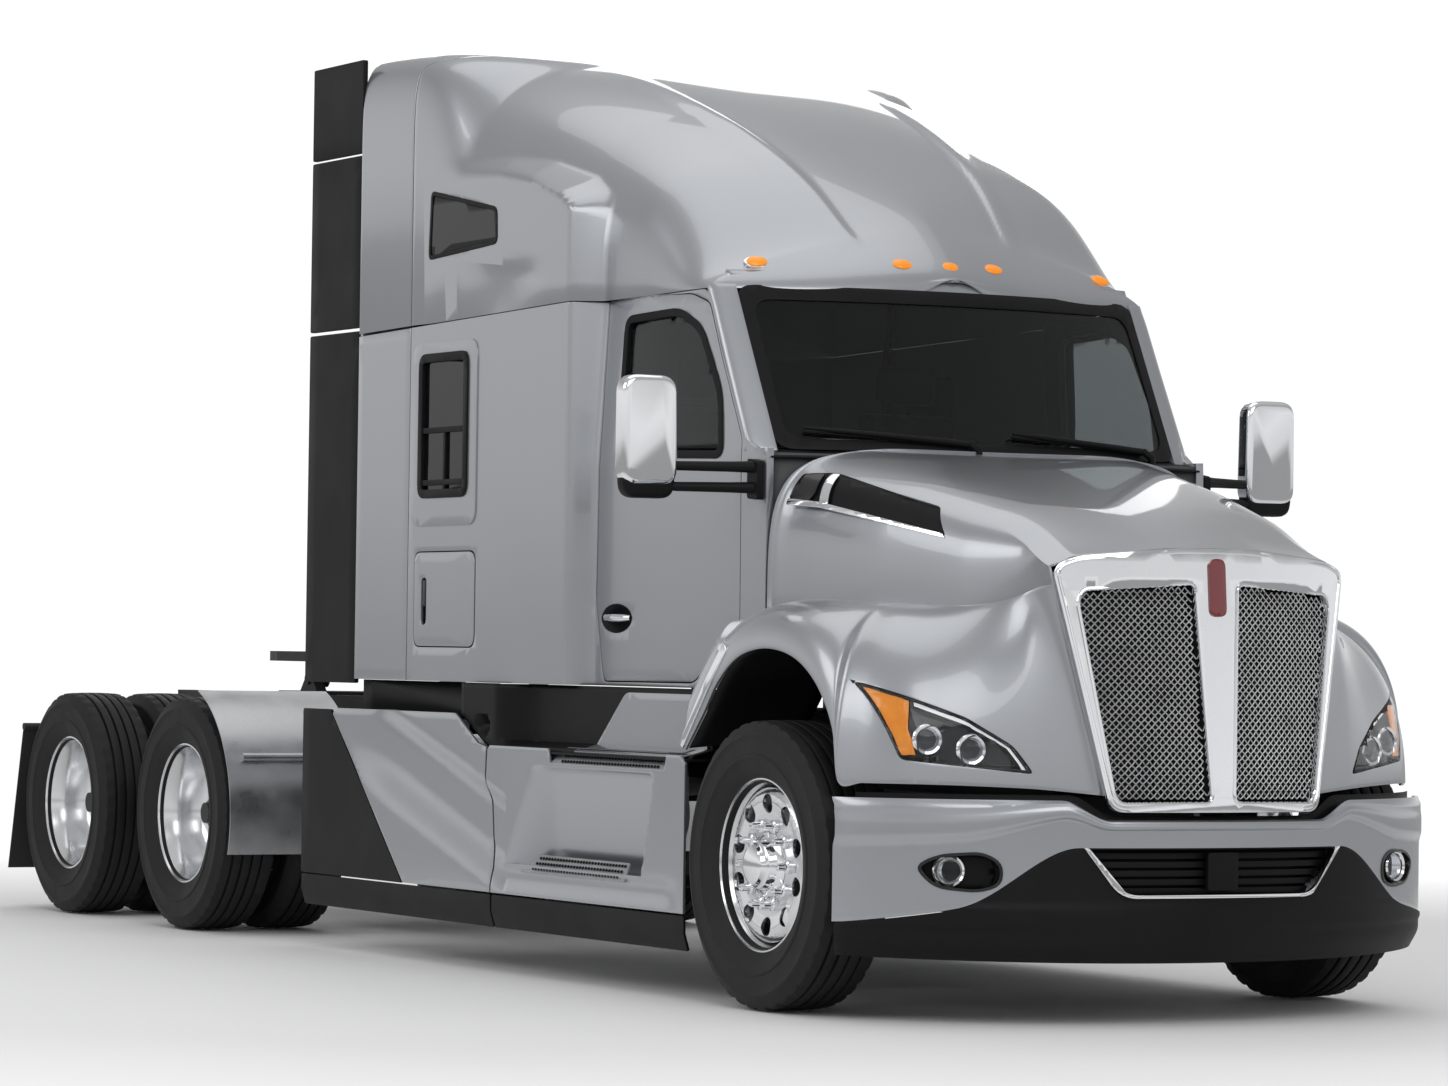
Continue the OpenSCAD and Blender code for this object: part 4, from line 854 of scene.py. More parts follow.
INTAKE = [(-0.518, 0.603), (0.518, 0.603), (0.388, 0.447), (-0.388, 0.447)]
bm = drape(flat_grid(-1.223, 1.223, 0, 1, 150, 26), valance_point)
carve(bm, rounded(INTAKE, 0.03, 4), False, (0, 2), lambda m: m.y < NOSE + 0.3)
piece("valance", turned_out(bm, (0, -1, 0)), "chassis", BLACK_PLASTIC, 0.008, 0.003,
      stands_for=("bumper_lower",))
slats = [panel([(-w, z), (w, z), (w - 0.012, z - 0.020), (-w + 0.012, z - 0.020)],
               lambda x, zz: at(x, bumper_f(x) + 0.05, zz), (0, -1, 0), 0.04)
         for w, z in ((0.500, 0.590), (0.478, 0.560), (0.452, 0.530), (0.428, 0.500), (0.404, 0.470))]
piece("intake_slats", joined(*slats), "chassis", BLACK_PLASTIC, 0.03, 0.002)
back = panel(grown(INTAKE, 0.02), lambda x, z: at(x, bumper_f(x) + 0.10, z), (0, -1, 0), 0.05)
piece("intake_backing", back, "chassis", BLACK_PLASTIC, 0.004)
u_outline = [(-0.530, 0.608)] + rounded([(-0.530, 0.608), (-0.400, 0.437), (0.400, 0.437), (0.530, 0.608)],
                                        0.06, 6)[6:18] + [(0.530, 0.608), (0.514, 0.608)] + \
    rounded([(0.514, 0.608), (0.390, 0.448), (-0.390, 0.448), (-0.514, 0.608)], 0.055,
            6)[6:18] + [(-0.514, 0.608)]
piece("intake_trim", panel(u_outline, lambda x, z: at(x, bumper_f(x) + 0.002, z), (0, -1, 0), 0.02),
      "chassis", CHROME, 0.014, 0.003)
blank = panel(rounded(box_outline(-0.062, 0.062, 0.462, 0.592), 0.012, 3),
              lambda x, z: at(x, bumper_f(x) + 0.012, z), (0, -1, 0), 0.03)
piece("intake_blank", blank, "chassis", BLACK_PLASTIC, 0.02, 0.003)
gap = drape(flat_grid(-1.16, 1.16, 0, 1, 80, 4),
            lambda x, v: at(x, bumper_f(x * 1.02) + 0.055,
                            mix(0.60, 0.715 + 0.07 * smooth((abs(x) - 0.4) / 0.15), v)))
piece("bumper_shadow_panel", turned_out(gap, (0, -1, 0)), "chassis", BLACK_PLASTIC, 0.004)
for side, sign in SIDES:
    def fog_at(x, z, by, sign=sign):
        return at(sign * x, bumper_f(x) + by, z)
    bowl = panel(grown(fog_outline, 0.006), lambda x, z: fog_at(x, z, 0.065), (sign * 0.4, -1, 0), 0.03)
    piece(f"fog_pan_{side}", bowl, "chassis", BLACK_PLASTIC, 0.004)
    rim = panel(grown(fog_outline, 0.003), lambda x, z: fog_at(x, z, 0.008), (sign * 0.4, -1, 0), 0.02,
                [grown(fog_outline, -0.007)])
    piece(f"fog_rim_{side}", rim, "chassis", GLOSS_BLACK, 0.055, 0.002)
    centre, way = fog_at(0.928, 0.525, 0.050), Vector((sign * 0.35, -1, 0))
    piece(f"fog_ring_{side}",
          spun([(0.047, -0.04), (0.056, -0.04), (0.058, 0.006), (0.053, 0.012), (0.046, 0.006)], 40, centre,
               way), "chassis", CHROME)
    piece(f"fog_bowl_{side}",
          spun([(0.0, -0.022), (0.03, -0.016), (0.046, 0.0), (0.046, -0.03), (0, -0.03)], 40, centre, way,
               False), "chassis", ALLOY,
          stands_for=("chassis_lamps",) if sign > 0 else ())
    piece(f"fog_lens_{side}",
          spun([(0, 0.010), (0.025, 0.008), (0.0455, 0.001), (0.0455, -0.001), (0, 0.006)], 32, centre, way,
               False), "chassis", LENS)

# ---------------------------------------------------------------- cab and sleeper
DOOR_WINDOW = [(2.580, 2.512), (2.585, 1.994), (1.850, 1.972), (1.880, 2.209), (2.040, 2.454), (2.200, 2.526)]
LOWER_WINDOW = box_outline(3.653, 4.080, 1.865, 2.423)
BAY = box_outline(3.568, 4.127, 1.260, 1.636)
UPPER_WINDOW = [(4.019, 3.090), (3.421, 2.984), (3.416, 2.846), (4.037, 2.817)]


def door_outline(g):
    return [(2.730 + g, 1.446), (2.718 + g, 2.030), (2.720 + g, 2.588 + g * 0.6), (2.480, 2.590 + g * 0.6),
            (2.120, 2.580 + g), (2.000 - g, 2.542 + g), (1.905 - g, 2.355), (1.728 - g, 2.030),
            (1.723 - g, 1.354 - g), (2.020 - g, 1.142 - g), (2.662 + g, 1.140 - g)]


def flank(sign, by=0.0):
    """A point on the cab's or sleeper's side, moved out by a distance."""
    return lambda f, z: at(sign * (side_half(f, z) + by), f, z)


def ring_on(outline, width, surface, direction, step=0.03, corner=0.0):
    outer = rounded(outline, corner, 5) if corner else outline
    return panel(outer, surface, direction, step, [grown(outer, -width)])


PILLAR = ((1.99, 1.716), (2.03, 1.716), (2.355, 1.893), (2.542, 1.988), (2.60, 2.030), (2.66, 2.065))
SIDE_SKIN = [(1.562, 1.120), (4.190, 1.120), (4.190, seam(4.19) - 0.004), (2.040, SEAM_Z - 0.004),
             (2.000, 2.580),
             (1.900, 2.372), (1.716, 2.040), (1.640, 1.995), (1.562, 1.995)]
HANDLE = (2.575, 1.375)
BEVEL_CUTS = [2.735 + 0.0075 * i for i in range(9)]
for side, sign in SIDES:
    out = (sign, 0, 0)
    holes = [rounded(door_outline(0.006), 0.03, 3), rounded(grown(LOWER_WINDOW, -0.004), 0.05, 4),
             rounded(grown(BAY, 0.005), 0.05, 4)]
    skin = panel(SIDE_SKIN, flank(sign), out, 0.05, holes, (BEVEL_CUTS, ()))
    piece(f"cab_side_{side}", skin, "chassis", PAINT, 0.030, 0.002,
          stands_for=("cab_shell",) if sign > 0 else ())
    # Door
    skin = panel(rounded(door_outline(0.001), 0.025, 3), flank(sign), out, 0.05,
                 [rounded(DOOR_WINDOW, 0.05, 4), oval(HANDLE, 0.118, 0.056)])
    piece(f"door_skin_{side}", skin, f"door_{side}", PAINT, 0.030, 0.002, stands_for=(f"door_{side}",))
    seal = ring_on(grown(DOOR_WINDOW, 0.010), 0.030, flank(sign, 0.004), out, 0.025, 0.06)
    piece(f"door_window_seal_{side}", seal, f"door_{side}", BLACK_PLASTIC, 0.026, 0.003)
    glass = panel(rounded(DOOR_WINDOW, 0.05, 4), flank(sign, -0.012), out, 0.05)
    piece(f"door_pane_{side}", glass, f"door_{side}", GLASS, 0.005, stands_for=(f"door_glass_{side}",))
    lining = panel(rounded(grown(door_outline(0), -0.03), 0.03, 3), flank(sign, -0.036), out, 0.06,
                   [rounded(grown(DOOR_WINDOW, 0.004), 0.05, 4)])
    piece(f"door_lining_{side}", lining, f"door_{side}", TRIM, 0.02, 0.004)

    def bowl_point(f, z, sign=sign):
        away = ((f - HANDLE[0]) / 0.118) ** 2 + ((z - HANDLE[1]) / 0.056) ** 2
        return at(sign * (side_half(f, z) - 0.032 * max(0.0, 1 - away) - 0.002), f, z)
    bowl = panel(oval(HANDLE, 0.125, 0.063), bowl_point, out, 0.008)
    piece(f"door_handle_bowl_{side}", bowl, f"door_{side}", BLACK_PLASTIC, 0.004)
    grip = tube([at(sign * (side_half(2.6, 1.4) + d), f, 1.372 + h) for f, d, h in
                 ((2.676, -0.010, 0.006), (2.645, 0.003, 0.006), (2.575, 0.007, 0.005),
                  (2.505, 0.003, 0.005), (2.474, -0.010, 0.005))],
                [0.011, 0.015, 0.016, 0.015, 0.011], 12)
    piece(f"door_handle_{side}", grip, f"door_{side}", CHROME)
    # Raised panel and window of the sleeper
    raised = panel(rounded(box_outline(3.567, 4.157, 1.741, 2.480), 0.07, 5), flank(sign, 0.005), out, 0.04,
                   [rounded(grown(LOWER_WINDOW, -0.004), 0.05, 4)])
    piece(f"window_panel_{side}", raised, "chassis", PAINT, 0.012, 0.004, segments=3)
    frame_ring = ring_on(grown(LOWER_WINDOW, 0.012), 0.035, flank(sign, 0.012), out, 0.04, 0.06)
    bars = [panel(box_outline(3.66, 4.07, z, z + 0.022), flank(sign, 0.008), out, 0.05)
            for z in (2.115, 1.905)]
    bars.append(panel(box_outline(3.845, 3.865, 1.88, 2.12), flank(sign, 0.007), out, 0.05))
    piece(f"sleeper_window_frame_{side}", joined(frame_ring, *bars), "chassis", BLACK_PLASTIC, 0.02, 0.003)
    pane = panel(rounded(LOWER_WINDOW, 0.05, 4), flank(sign, -0.004), out, 0.06)
    piece(f"sleeper_pane_{side}", pane, "chassis", DARK_GLASS, 0.006,
          stands_for=("sleeper_windows",) if sign > 0 else ())
    # Luggage door
    hung = [(max(f, min(p[0] for p in BAY) + 0.005), z) for f, z in BAY]
    skin = panel(rounded(hung, 0.05, 5), flank(sign, 0.001), out, 0.04,
                 [rounded(box_outline(4.012, 4.062, 1.345, 1.535), 0.024, 4)])
    piece(f"bay_skin_{side}", skin, f"bay_door_{side}", PAINT, 0.012, 0.003, stands_for=(f"bay_door_{side}",))
    pocket = panel(rounded(box_outline(4.010, 4.064, 1.343, 1.537), 0.026, 4), flank(sign, -0.014), out, 0.02)
    piece(f"bay_pocket_{side}", pocket, f"bay_door_{side}", BLACK_PLASTIC, 0.004)
    latch = panel(rounded(box_outline(4.022, 4.052, 1.42, 1.525), 0.014, 4), flank(sign, -0.001), out, 0.02)
    piece(f"bay_latch_{side}", latch, f"bay_door_{side}", GLOSS_BLACK, 0.012, 0.003)
    # Pillar beside the windscreen

    def pillar(z, v, sign=sign):
        fa = along(PILLAR, z) - 0.006
        a = (side_half(fa, z), fa)
        c = (0.866, screen_f(0.866, z) - 0.006)
        b = (a[0] + 0.004, screen_f(0.93, z) - 0.004)
        x, f = (mix(mix(p, q, v), mix(q, r, v), v) for p, q, r in zip(a, b, c))
        return at(sign * x, f, z)
    bm = drape(flat_grid(1.985, 2.615, 0, 1, 30, 12), pillar)
    piece(f"windscreen_pillar_{side}", turned_out(bm, (sign, -1, 0)), "chassis", PAINT, 0.030, 0.002)
    # Rear part of the sleeper and its extender
    skin = panel([(4.200, 1.120), (END, 1.120), (END, seam(END) - 0.004), (4.200, seam(4.2) - 0.004)],
                 flank(sign), out, 0.05)
    piece(f"sleeper_side_rear_{side}", skin, "chassis", PAINT, 0.030, 0.002,
          stands_for=("sleeper_rear",) if sign > 0 else ())
    pieces = []
    for low, high in ((1.102, 2.562), (2.576, 3.292), (3.302, 3.690)):
        leaf = panel(rounded([(END + 0.004, low), (END + 0.508, low), (END + 0.508, high),
                              (END + 0.004, high)], 0.012, 3),
                     lambda f, z, s=sign: at(s * (SLEEPER_X - 0.004), f, z), out, 0.08)
        pieces.append(leaf)
    piece(f"side_extender_{side}", joined(*pieces), "chassis", BLACK_PLASTIC, 0.020, 0.004,
          stands_for=("side_extenders",) if sign > 0 else ())

# Roof
bm = flat_grid(0, 1, 0, 180, 150, 150)


def roof_front(u, a):
    s = sin(radians(a))
    end = SPLIT - 0.005 - 0.19 * smooth((s - 0.55) / 0.45)
    return roof_point(mix(1.8262, end, u ** 1.5), a)


def roof_back(u, a):
    s = sin(radians(a))
    start = SPLIT + 0.005 - 0.19 * smooth((s - 0.55) / 0.45)
    return roof_point(mix(start, END, u), a)


drape(bm, roof_front)
window = [(NOSE + f, z) for f, z in rounded(UPPER_WINDOW, 0.03, 4)]
for sign in (1, -1):
    carve(bm, window, False, (1, 2), lambda m, s=sign: m.x * s > 0.8)
piece("roof_skin", turned_out(bm, (0, 0, 1)), "chassis", PAINT, 0.012, 0.002, stands_for=("roof",))
bm = drape(flat_grid(0, 1, 0, 180, 30, 150), roof_back)
piece("roof_rear_skin", turned_out(bm, (0, 0, 1)), "chassis", PAINT, 0.012, 0.002)
for side, sign in SIDES:
    def roof_side(f, z, by=0.0, sign=sign):
        return at(sign * (SLEEPER_X + by), f, z)
    piece(f"roof_window_{side}",
          panel(rounded(UPPER_WINDOW, 0.03, 4), lambda f, z: roof_side(f, z, -0.002), (sign, 0, 0), 0.05),
          "chassis", DARK_GLASS, 0.006)
    piece(f"roof_window_seal_{side}",
          ring_on(grown(UPPER_WINDOW, 0.004), 0.018, lambda f, z: roof_side(f, z, 0.001), (sign, 0, 0),
                  0.04, 0.035),
          "chassis", BLACK_PLASTIC, 0.012, 0.002)
def seam_shade_sheet(u, a):
    """A dark strip behind the joint between the roof and the rear of the sleeper: painted shade that keeps
    light from showing through the joint.
    """
    p = roof_point(SPLIT - 0.19 * smooth((sin(radians(a)) - 0.55) / 0.45) + 0.05 * (u - 0.5), a)
    return Vector((p.x * 0.980, p.y, 2.45 + (p.z - 2.45) * 0.975))


bm = drape(flat_grid(0, 1, 0, 180, 4, 120), seam_shade_sheet)
piece("roof_joint_shade_strip", turned_out(bm, (0, 0, 1)), "chassis", BLACK_PLASTIC, 0.003)
# Black strips behind the joints in the sleeper's side and in the skirts: painted shade that keeps light from
# showing through the joints.
for side, sign in SIDES:
    strips = [panel([(f0, z0), (f1, z0), (f1, z1), (f0, z1)], lambda f, z, s=sign: at(s * x, f, z),
                    (sign, 0, 0), 0.2)
              for f0, f1, z0, z1, x in ((4.17, 4.23, 1.14, 2.58, SLEEPER_X - 0.036),
                                        (3.23, 3.37, 0.18, 0.86, 1.150))]
    piece(f"side_joint_shade_strips_{side}", joined(*strips), "chassis", BLACK_PLASTIC, 0.003)
header = drape(flat_grid(-0.88, 0.88, 2.600, 2.672, 60, 4), lambda x, z: at(x, screen_f(x, z) + 0.008, z))
piece("windscreen_header", turned_out(header, (0, -1, 0)), "chassis", PAINT, 0.02)
back_outline = [(-SLEEPER_X + 0.004, 1.122), (SLEEPER_X - 0.004, 1.122)] + \
    [tuple((roof_point(END, a).x * 0.995, roof_point(END, a).z - 0.004)) for a in range(1, 180, 4)]
piece("sleeper_back", panel(back_outline, lambda x, z: at(x, END - 0.002, z), (0, 1, 0), 0.12), "chassis",
      PAINT, 0.02, 0.002)
ribs = [panel(rounded(box_outline(x - 0.03, x + 0.03, 1.25, 3.25), 0.025, 3), lambda x,
              z: at(x, END + 0.004, z), (0, 1, 0), 0.15)
        for x in (-0.8, -0.4, 0.0, 0.4, 0.8)]
piece("sleeper_back_ribs", joined(*ribs), "chassis", PAINT, 0.008, 0.004)

# Marker lamps over the windscreen
bases, lamps = [], []
for x, f, z in ((0, 1.878, 2.711), (0.198, 1.890, 2.712), (-0.198, 1.890, 2.712), (0.756, 2.006, 2.703),
                (-0.756, 2.006, 2.703)):
    way = Vector((x * 0.25, -0.75, 0.62))
    for store, r, h in ((bases, 0.036, 0.006), (lamps, 0.030, 0.018)):
        bm = spun([(0, h), (r * 0.6, h * 0.85), (r * 0.92, h * 0.5), (r, 0), (r, -0.012), (0, -0.012)], 28,
                  (0, 0, 0), way, False)
        bmesh.ops.scale(bm, verts=bm.verts[:], vec=(1.45, 1, 0.85))
        bmesh.ops.translate(bm, verts=bm.verts[:], vec=at(x, f, z))
        store.append(bm)
piece("marker_bases", joined(*bases), "chassis", CHROME)
piece("marker_lamps", joined(*lamps), "chassis", AMBER)

# Windscreen, its black border, the cowl and the wipers
SCREEN = [(-0.862, 2.004), (0.862, 2.004), (0.862, 2.606), (-0.862, 2.606)]
piece("windscreen_pane",
      panel(rounded(SCREEN, 0.07, 5), lambda x, z: at(x, screen_f(x, z) + 0.002, z), (0, -1, 0.5), 0.04),
      "chassis", GLASS, 0.006, stands_for=("windshield",))
border = panel(rounded(grown(SCREEN, 0.008), 0.07, 5), lambda x, z: at(x, screen_f(x, z) - 0.003, z),
               (0, -1, 0.5), 0.04,
               [rounded([(-0.822, 2.035), (0.822, 2.035), (0.818, 2.560), (-0.818, 2.560)], 0.07, 5)])
piece("windscreen_border", border, "chassis", BLACK_PLASTIC, 0.004, 0.001)
cowl = drape(flat_grid(-0.93, 0.93, 0, 1, 60, 6), lambda x,
             v: at(x, mix(cowl_f(x) + 0.0, screen_f(x, 2.0) + 0.02, v), mix(1.965, 2.0, v)))
piece("cowl_panel", turned_out(cowl, (0, 0, 1)), "chassis", BLACK_PLASTIC, 0.006)
wipers = []
for x0 in (-0.76, 0.06):
    path = [(x0 + 0.62 * t, 0) for t in (0, 0.2, 0.4, 0.6, 0.8, 1)]
    wipers.append(tube([at(x, screen_f(x, mix(2.075, 2.03, i / 5)) - 0.026, mix(2.075, 2.03, i / 5)) for i,
                        (x, _) in enumerate(path)],
                       [0.006, 0.009, 0.010, 0.011, 0.012, 0.012], 8))
    wipers.append(tube([at(x, screen_f(x, mix(2.063, 2.020, i / 5)) - 0.010, mix(2.063, 2.020, i / 5))
                        for i, (x, _) in enumerate(path)], 0.006, 6))
    x = x0 + 0.62
    wipers.append(tube([at(x, screen_f(x, 2.03) - 0.026, 2.034),
                        at(x + 0.03, screen_f(x, 2.02) - 0.035, 2.008),
                        at(x + 0.035, screen_f(x, 2.02) - 0.035, 1.98)], 0.014, 10))
piece("wiper_arms", joined(*wipers), "chassis", BLACK_PLASTIC, stands_for=("wipers",))

# Mirrors
for side, sign in SIDES:
    outline = rounded([(sign * 1.238, 1.850), (sign * 1.466, 1.850), (sign * 1.466, 2.250),
                       (sign * 1.246, 2.250)], 0.065, 6)
    shell = prism(outline, NOSE + 1.690, NOSE + 1.772, 1)
    bmesh.ops.bevel(shell, geom=[e for e in shell.edges if abs(e.verts[0].co.y - e.verts[1].co.y) < 1e-6],
                    offset=0.022,
                    segments=5, profile=0.5, affect="EDGES", material=-1)
    piece(f"mirror_shell_{side}", closed(shell), "chassis", CHROME, angle=50,
          stands_for=("mirrors",) if sign > 0 else ())
    outline = rounded([(sign * 1.252, 1.805), (sign * 1.452, 1.805), (sign * 1.462, 1.915),
                       (sign * 1.242, 1.915)], 0.05, 5)
    bulb = prism(outline, NOSE + 1.698, NOSE + 1.770, 1)
    bmesh.ops.bevel(bulb, geom=[e for e in bulb.edges if abs(e.verts[0].co.y - e.verts[1].co.y) < 1e-6],
                    offset=0.02,
                    segments=4, profile=0.5, affect="EDGES", material=-1)
    piece(f"mirror_bulb_{side}", closed(bulb), "chassis", BLACK_PLASTIC, angle=50)
    face = panel(rounded([(sign * 1.256, 1.93), (sign * 1.448, 1.93), (sign * 1.448, 2.232),
                          (sign * 1.262, 2.232)], 0.04, 5),
                 lambda x, z: at(x, 1.776, z), (0, 1, 0), 0.1)
    piece(f"mirror_face_{side}", face, "chassis", CHROME, 0.004, 0.001)
    arms = [tube([at(sign * 0.972, 1.602, z), at(sign * 1.06, 1.640, z), at(sign * 1.24, 1.715, z),
                  at(sign * 1.30, 1.722, z + 0.004)],
                 [0.022, 0.019, 0.017, 0.015], 14) for z in (1.850, 1.925)]
    block = prism(rounded([(1.566, 1.805), (1.642, 1.812), (1.642, 1.958), (1.566, 1.945)], 0.015, 3), 0,
                  0.028, 0)
    for v in block.verts:
        v.co = Vector((sign * (v.co.x + side_half(1.64, 1.85) + 0.001), v.co.y + NOSE, v.co.z))
    piece(f"mirror_arms_{side}", joined(closed(block), *arms), "chassis", BLACK_PLASTIC)

# ---------------------------------------------------------------- skirts and steps
SKIRT_X = 1.200


def over_span(t, a, b, ramp):
    return smooth((t - a) / ramp) * smooth((b - t) / ramp)


def skirt_x(f, z):
    """The silver skirt: scooped over the lower step, with soft folds behind it."""
    over = smooth((f - 1.90 - 0.28 * (0.85 - z)) / 0.07) * smooth((3.14 - 0.45 * (z - 0.43) - f) / 0.24)
    scoop = over * (0.090 * clamp(1 - (z - 0.428) / 0.36) + 0.018 * smooth((0.81 - z) / 0.02) if z > 0.4281
                    else 0)
    fold = 0.008 * smooth((z - 0.30) / 0.08) * smooth((0.43 - z) / 0.03) * over_span(f, 1.72, 3.30, 0.15)
    tail = 0.0
    if f > 3.15:
        line = 0.50 + 0.30 * (f - 3.15)
        tail = 0.034 * smooth((line + 0.20
                               - z) / 0.10) * smooth((z - line + 0.22) / 0.18) * smooth((4.72 - f) / 0.6)
    return SKIRT_X - scoop - fold - tail


def skirt(sign, by=0.0):
    return lambda f, z: at(sign * (skirt_x(f, z) + by), f, z)


for side, sign in SIDES:
    out = (sign, 0, 0)
    front = [(1.690, 0.308), (3.266, 0.308), (3.268, 0.40), (3.305, 0.52), (3.323, 0.70), (3.311, 0.862),
             (3.290, 0.878), (2.790, 0.878), (2.770, 0.822), (1.850, 0.822), (1.830, 0.878), (1.730, 0.878),
             (1.690, 0.85)]
    xs, zs = [p[0] for p in front], [p[1] for p in front]
    bm = flat_grid(min(xs), max(xs), 0.308, 0.878, 90, 48)
    rows = sorted({round(v.co.y, 6) for v in bm.verts})
    close = min(rows, key=lambda z: abs(z - 0.428))
    above = rows[rows.index(close) + 1]
    for v in bm.verts:
        if abs(v.co.y - close) < 1e-5:
            v.co.y = 0.428
        elif abs(v.co.y - above) < 1e-5:
            v.co.y = 0.4285
    carve(bm, front, True)
    drape(bm, skirt(sign))
    piece(f"skirt_front_{side}", turned_out(bm, out), "chassis", PAINT, 0.010, 0.002,
          stands_for=("skirt_panels",) if sign > 0 else ())
    rear = [(3.278, 0.308), (3.281, 0.40), (3.318, 0.52), (3.336, 0.70), (3.325, 0.872), (3.400, 0.885),
            (3.607, 0.998), (4.740, 0.998), (4.775, 0.975), (4.070, 0.308)]
    piece(f"skirt_rear_{side}", panel(rear, skirt(sign), out, 0.03), "chassis", PAINT, 0.010, 0.003)
    black = [(4.082, 0.306), (5.078, 0.306), (5.078, 0.992), (4.800, 0.992), (4.788, 0.975)]
    piece(f"skirt_tail_{side}",
          panel(rounded(black, 0.012, 2), lambda f, z, s=sign: at(s * (SKIRT_X - 0.002), f, z), out, 0.08),
          "chassis",
          BLACK_PLASTIC, 0.012, 0.003, stands_for=("skirt_trim",) if sign > 0 else ())
    bands = []
    for f0, f1 in ((1.690, 3.264), (3.276, 5.078)):
        bands.append(panel(rounded([(f0, 0.172), (f1, 0.172), (f1, 0.300), (f0, 0.300)], 0.008, 2),
                           lambda f, z, s=sign: at(s * (SKIRT_X - 0.004 - 0.02 * smooth((0.21 - z) / 0.04)),
                                                   f, z), out, 0.06))
    piece(f"skirt_band_{side}", joined(*bands), "chassis", BLACK_PLASTIC, 0.010, 0.003)
    # Black inner panel over the steps, with the filler's recess

    def infill(f, z, sign=sign):
        dish = 0.05 * max(0.0, 1 - ((f - 3.41) / 0.06) ** 2 - ((z - 0.955) / 0.045) ** 2)
        deep = mix(1.175, 1.085, smooth((3.30 - f) / 0.16) * smooth((z - 0.875) / 0.02))
        return at(sign * (deep - dish), f, z)
    shade = panel([(1.70, 0.86), (3.34, 0.86), (3.60, 0.995), (3.60, 1.118), (1.66, 1.118)], infill, out,
                  0.02)
    piece(f"step_backing_{side}", shade, "chassis", BLACK_PLASTIC, 0.006)
    ledge = panel([(1.70, 0.868), (3.33, 0.868), (3.33, 0.90), (1.70, 0.90)], lambda f, v, s=sign:
                  at(s * mix(1.192, 1.08, (v - 0.868) / 0.032), f, 0.866), (0, 0, 1), 0.02)
    piece(f"step_ledge_{side}", ledge, "chassis", BLACK_PLASTIC, 0.01, 0.003)
    # Sloping treads with rows of raised teeth
    plates, dots = [], []
    for f0, f1, z, x_out, x_in in ((1.84, 2.78, 0.818, 1.2005, 1.150), (2.14, 3.00, 0.402, 1.2045, 1.150)):
        rise = 0.066

        def slope(f, t, sign=sign, z=z, x_out=x_out, x_in=x_in):
            return at(sign * mix(x_out, x_in, t), f, mix(z, z + rise, t))
        strip = panel(rounded([(f0, 0), (f1, 0), (f1 - 0.06, 1), (f0 + 0.06, 1)], 0.02, 3), slope, out, 0.2)
        bmesh.ops.solidify(strip, geom=strip.faces[:], thickness=0.006)
        plates.append(strip)
        for i in range(int((f1 - f0 - 0.13) / 0.024)):
            for k in range(3):
                tooth = bmesh.new()
                bmesh.ops.create_cone(tooth, cap_ends=True, segments=8, radius1=0.0064, radius2=0.005,
                                      depth=0.004)
                bmesh.ops.rotate(tooth, verts=tooth.verts[:], cent=(0, 0, 0),
                                 matrix=Matrix.Rotation(sign * 0.95, 3, "Y"))
                bmesh.ops.translate(tooth, verts=tooth.verts[:],
                                    vec=slope(f0 + 0.07 + i * 0.024,
                                              0.2 + 0.3 * k) + Vector((sign * 0.003, 0, 0.002)))
                dots.append(tooth)
    piece(f"step_treads_{side}", joined(*plates), "chassis", TREAD_ALLOY,
          stands_for=("steps",) if sign > 0 else ())
    piece(f"step_grips_{side}", joined(*dots), "chassis", BLACK_PLASTIC)
    cheek = panel(rounded([(1.72, 0.872), (2.62, 0.872), (2.36, 1.098), (1.72, 1.098)], 0.03, 3), lambda f,
                  z, s=sign: infill(f, z) + Vector((s * 0.008, 0, 0)), out, 0.03)
    piece(f"step_cheek_{side}", cheek, "chassis", PAINT, 0.006, 0.002)

# ---------------------------------------------------------------- wheels
lo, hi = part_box("front_tyre_left")
AXLE_Z = (lo[2] + hi[2]) / 2
TYRE_R = 0.5095
LUG_R = 0.1425
FRONT_AXLE_F = 1.117
FRONT_WHEEL_X = 1.092
DRIVE_AXLE_F = (6.245, 7.625)


def tyre(x_mid, f, sign, width, grooves, notch):
    """A tyre turned about its axle; notch cuts the shoulder blocks."""
    half = width / 2
    rim_r = 0.294
    outer = [(rim_r, -half + 0.045), (rim_r + 0.016, -half + 0.034), (0.345, -half + 0.010),
             (0.375, -half + 0.003), (0.378, -half - 0.0005), (0.386, -half - 0.0005),
             (0.389, -half + 0.003), (0.420, -half + 0.002), (0.452, -half + 0.004),
             (0.456, -half + 0.0015), (0.468, -half + 0.005),
             (0.472, -half + 0.010), (0.490, -half + 0.017), (0.5045, -half + 0.026)]
    tread = []
    step = (width - 0.060) / (grooves + 1)
    for i in range(grooves + 1):
        a = -half + 0.030 + i * step
        crown = lambda h: TYRE_R - 0.006 * (h / half) ** 2
        tread += [(crown(a) - 0.0005, a + 0.001), (crown(a), a + 0.003),
                  (crown(a + step - 0.012), a + step - 0.013), (crown(a) - 0.001, a + step - 0.010)]
        if i < grooves:
            tread += [(TYRE_R - 0.015, a + step - 0.008), (TYRE_R - 0.015, a + step - 0.002)]
    other = [(r, -h) for r, h in reversed(outer)]
    inner = [(rim_r - 0.004, half - 0.060), (rim_r - 0.004, -half + 0.060)]
    steps = 160
    bm = spun(outer + tread + other + inner, steps, (0, 0, 0))
    for v in bm.verts:
        r = hypot(v.co.y, v.co.z)
        if r > TYRE_R - 0.009 and abs(v.co.x) > half - notch:
            turn = round(atan2(v.co.z, v.co.y) / (2 * pi) * steps)
            if turn % 4 == 0:
                v.co.y *= (r - 0.007) / r
                v.co.z *= (r - 0.007) / r
    bmesh.ops.translate(bm, verts=bm.verts[:], vec=(sign * x_mid, NOSE + f, AXLE_Z))
    return bm


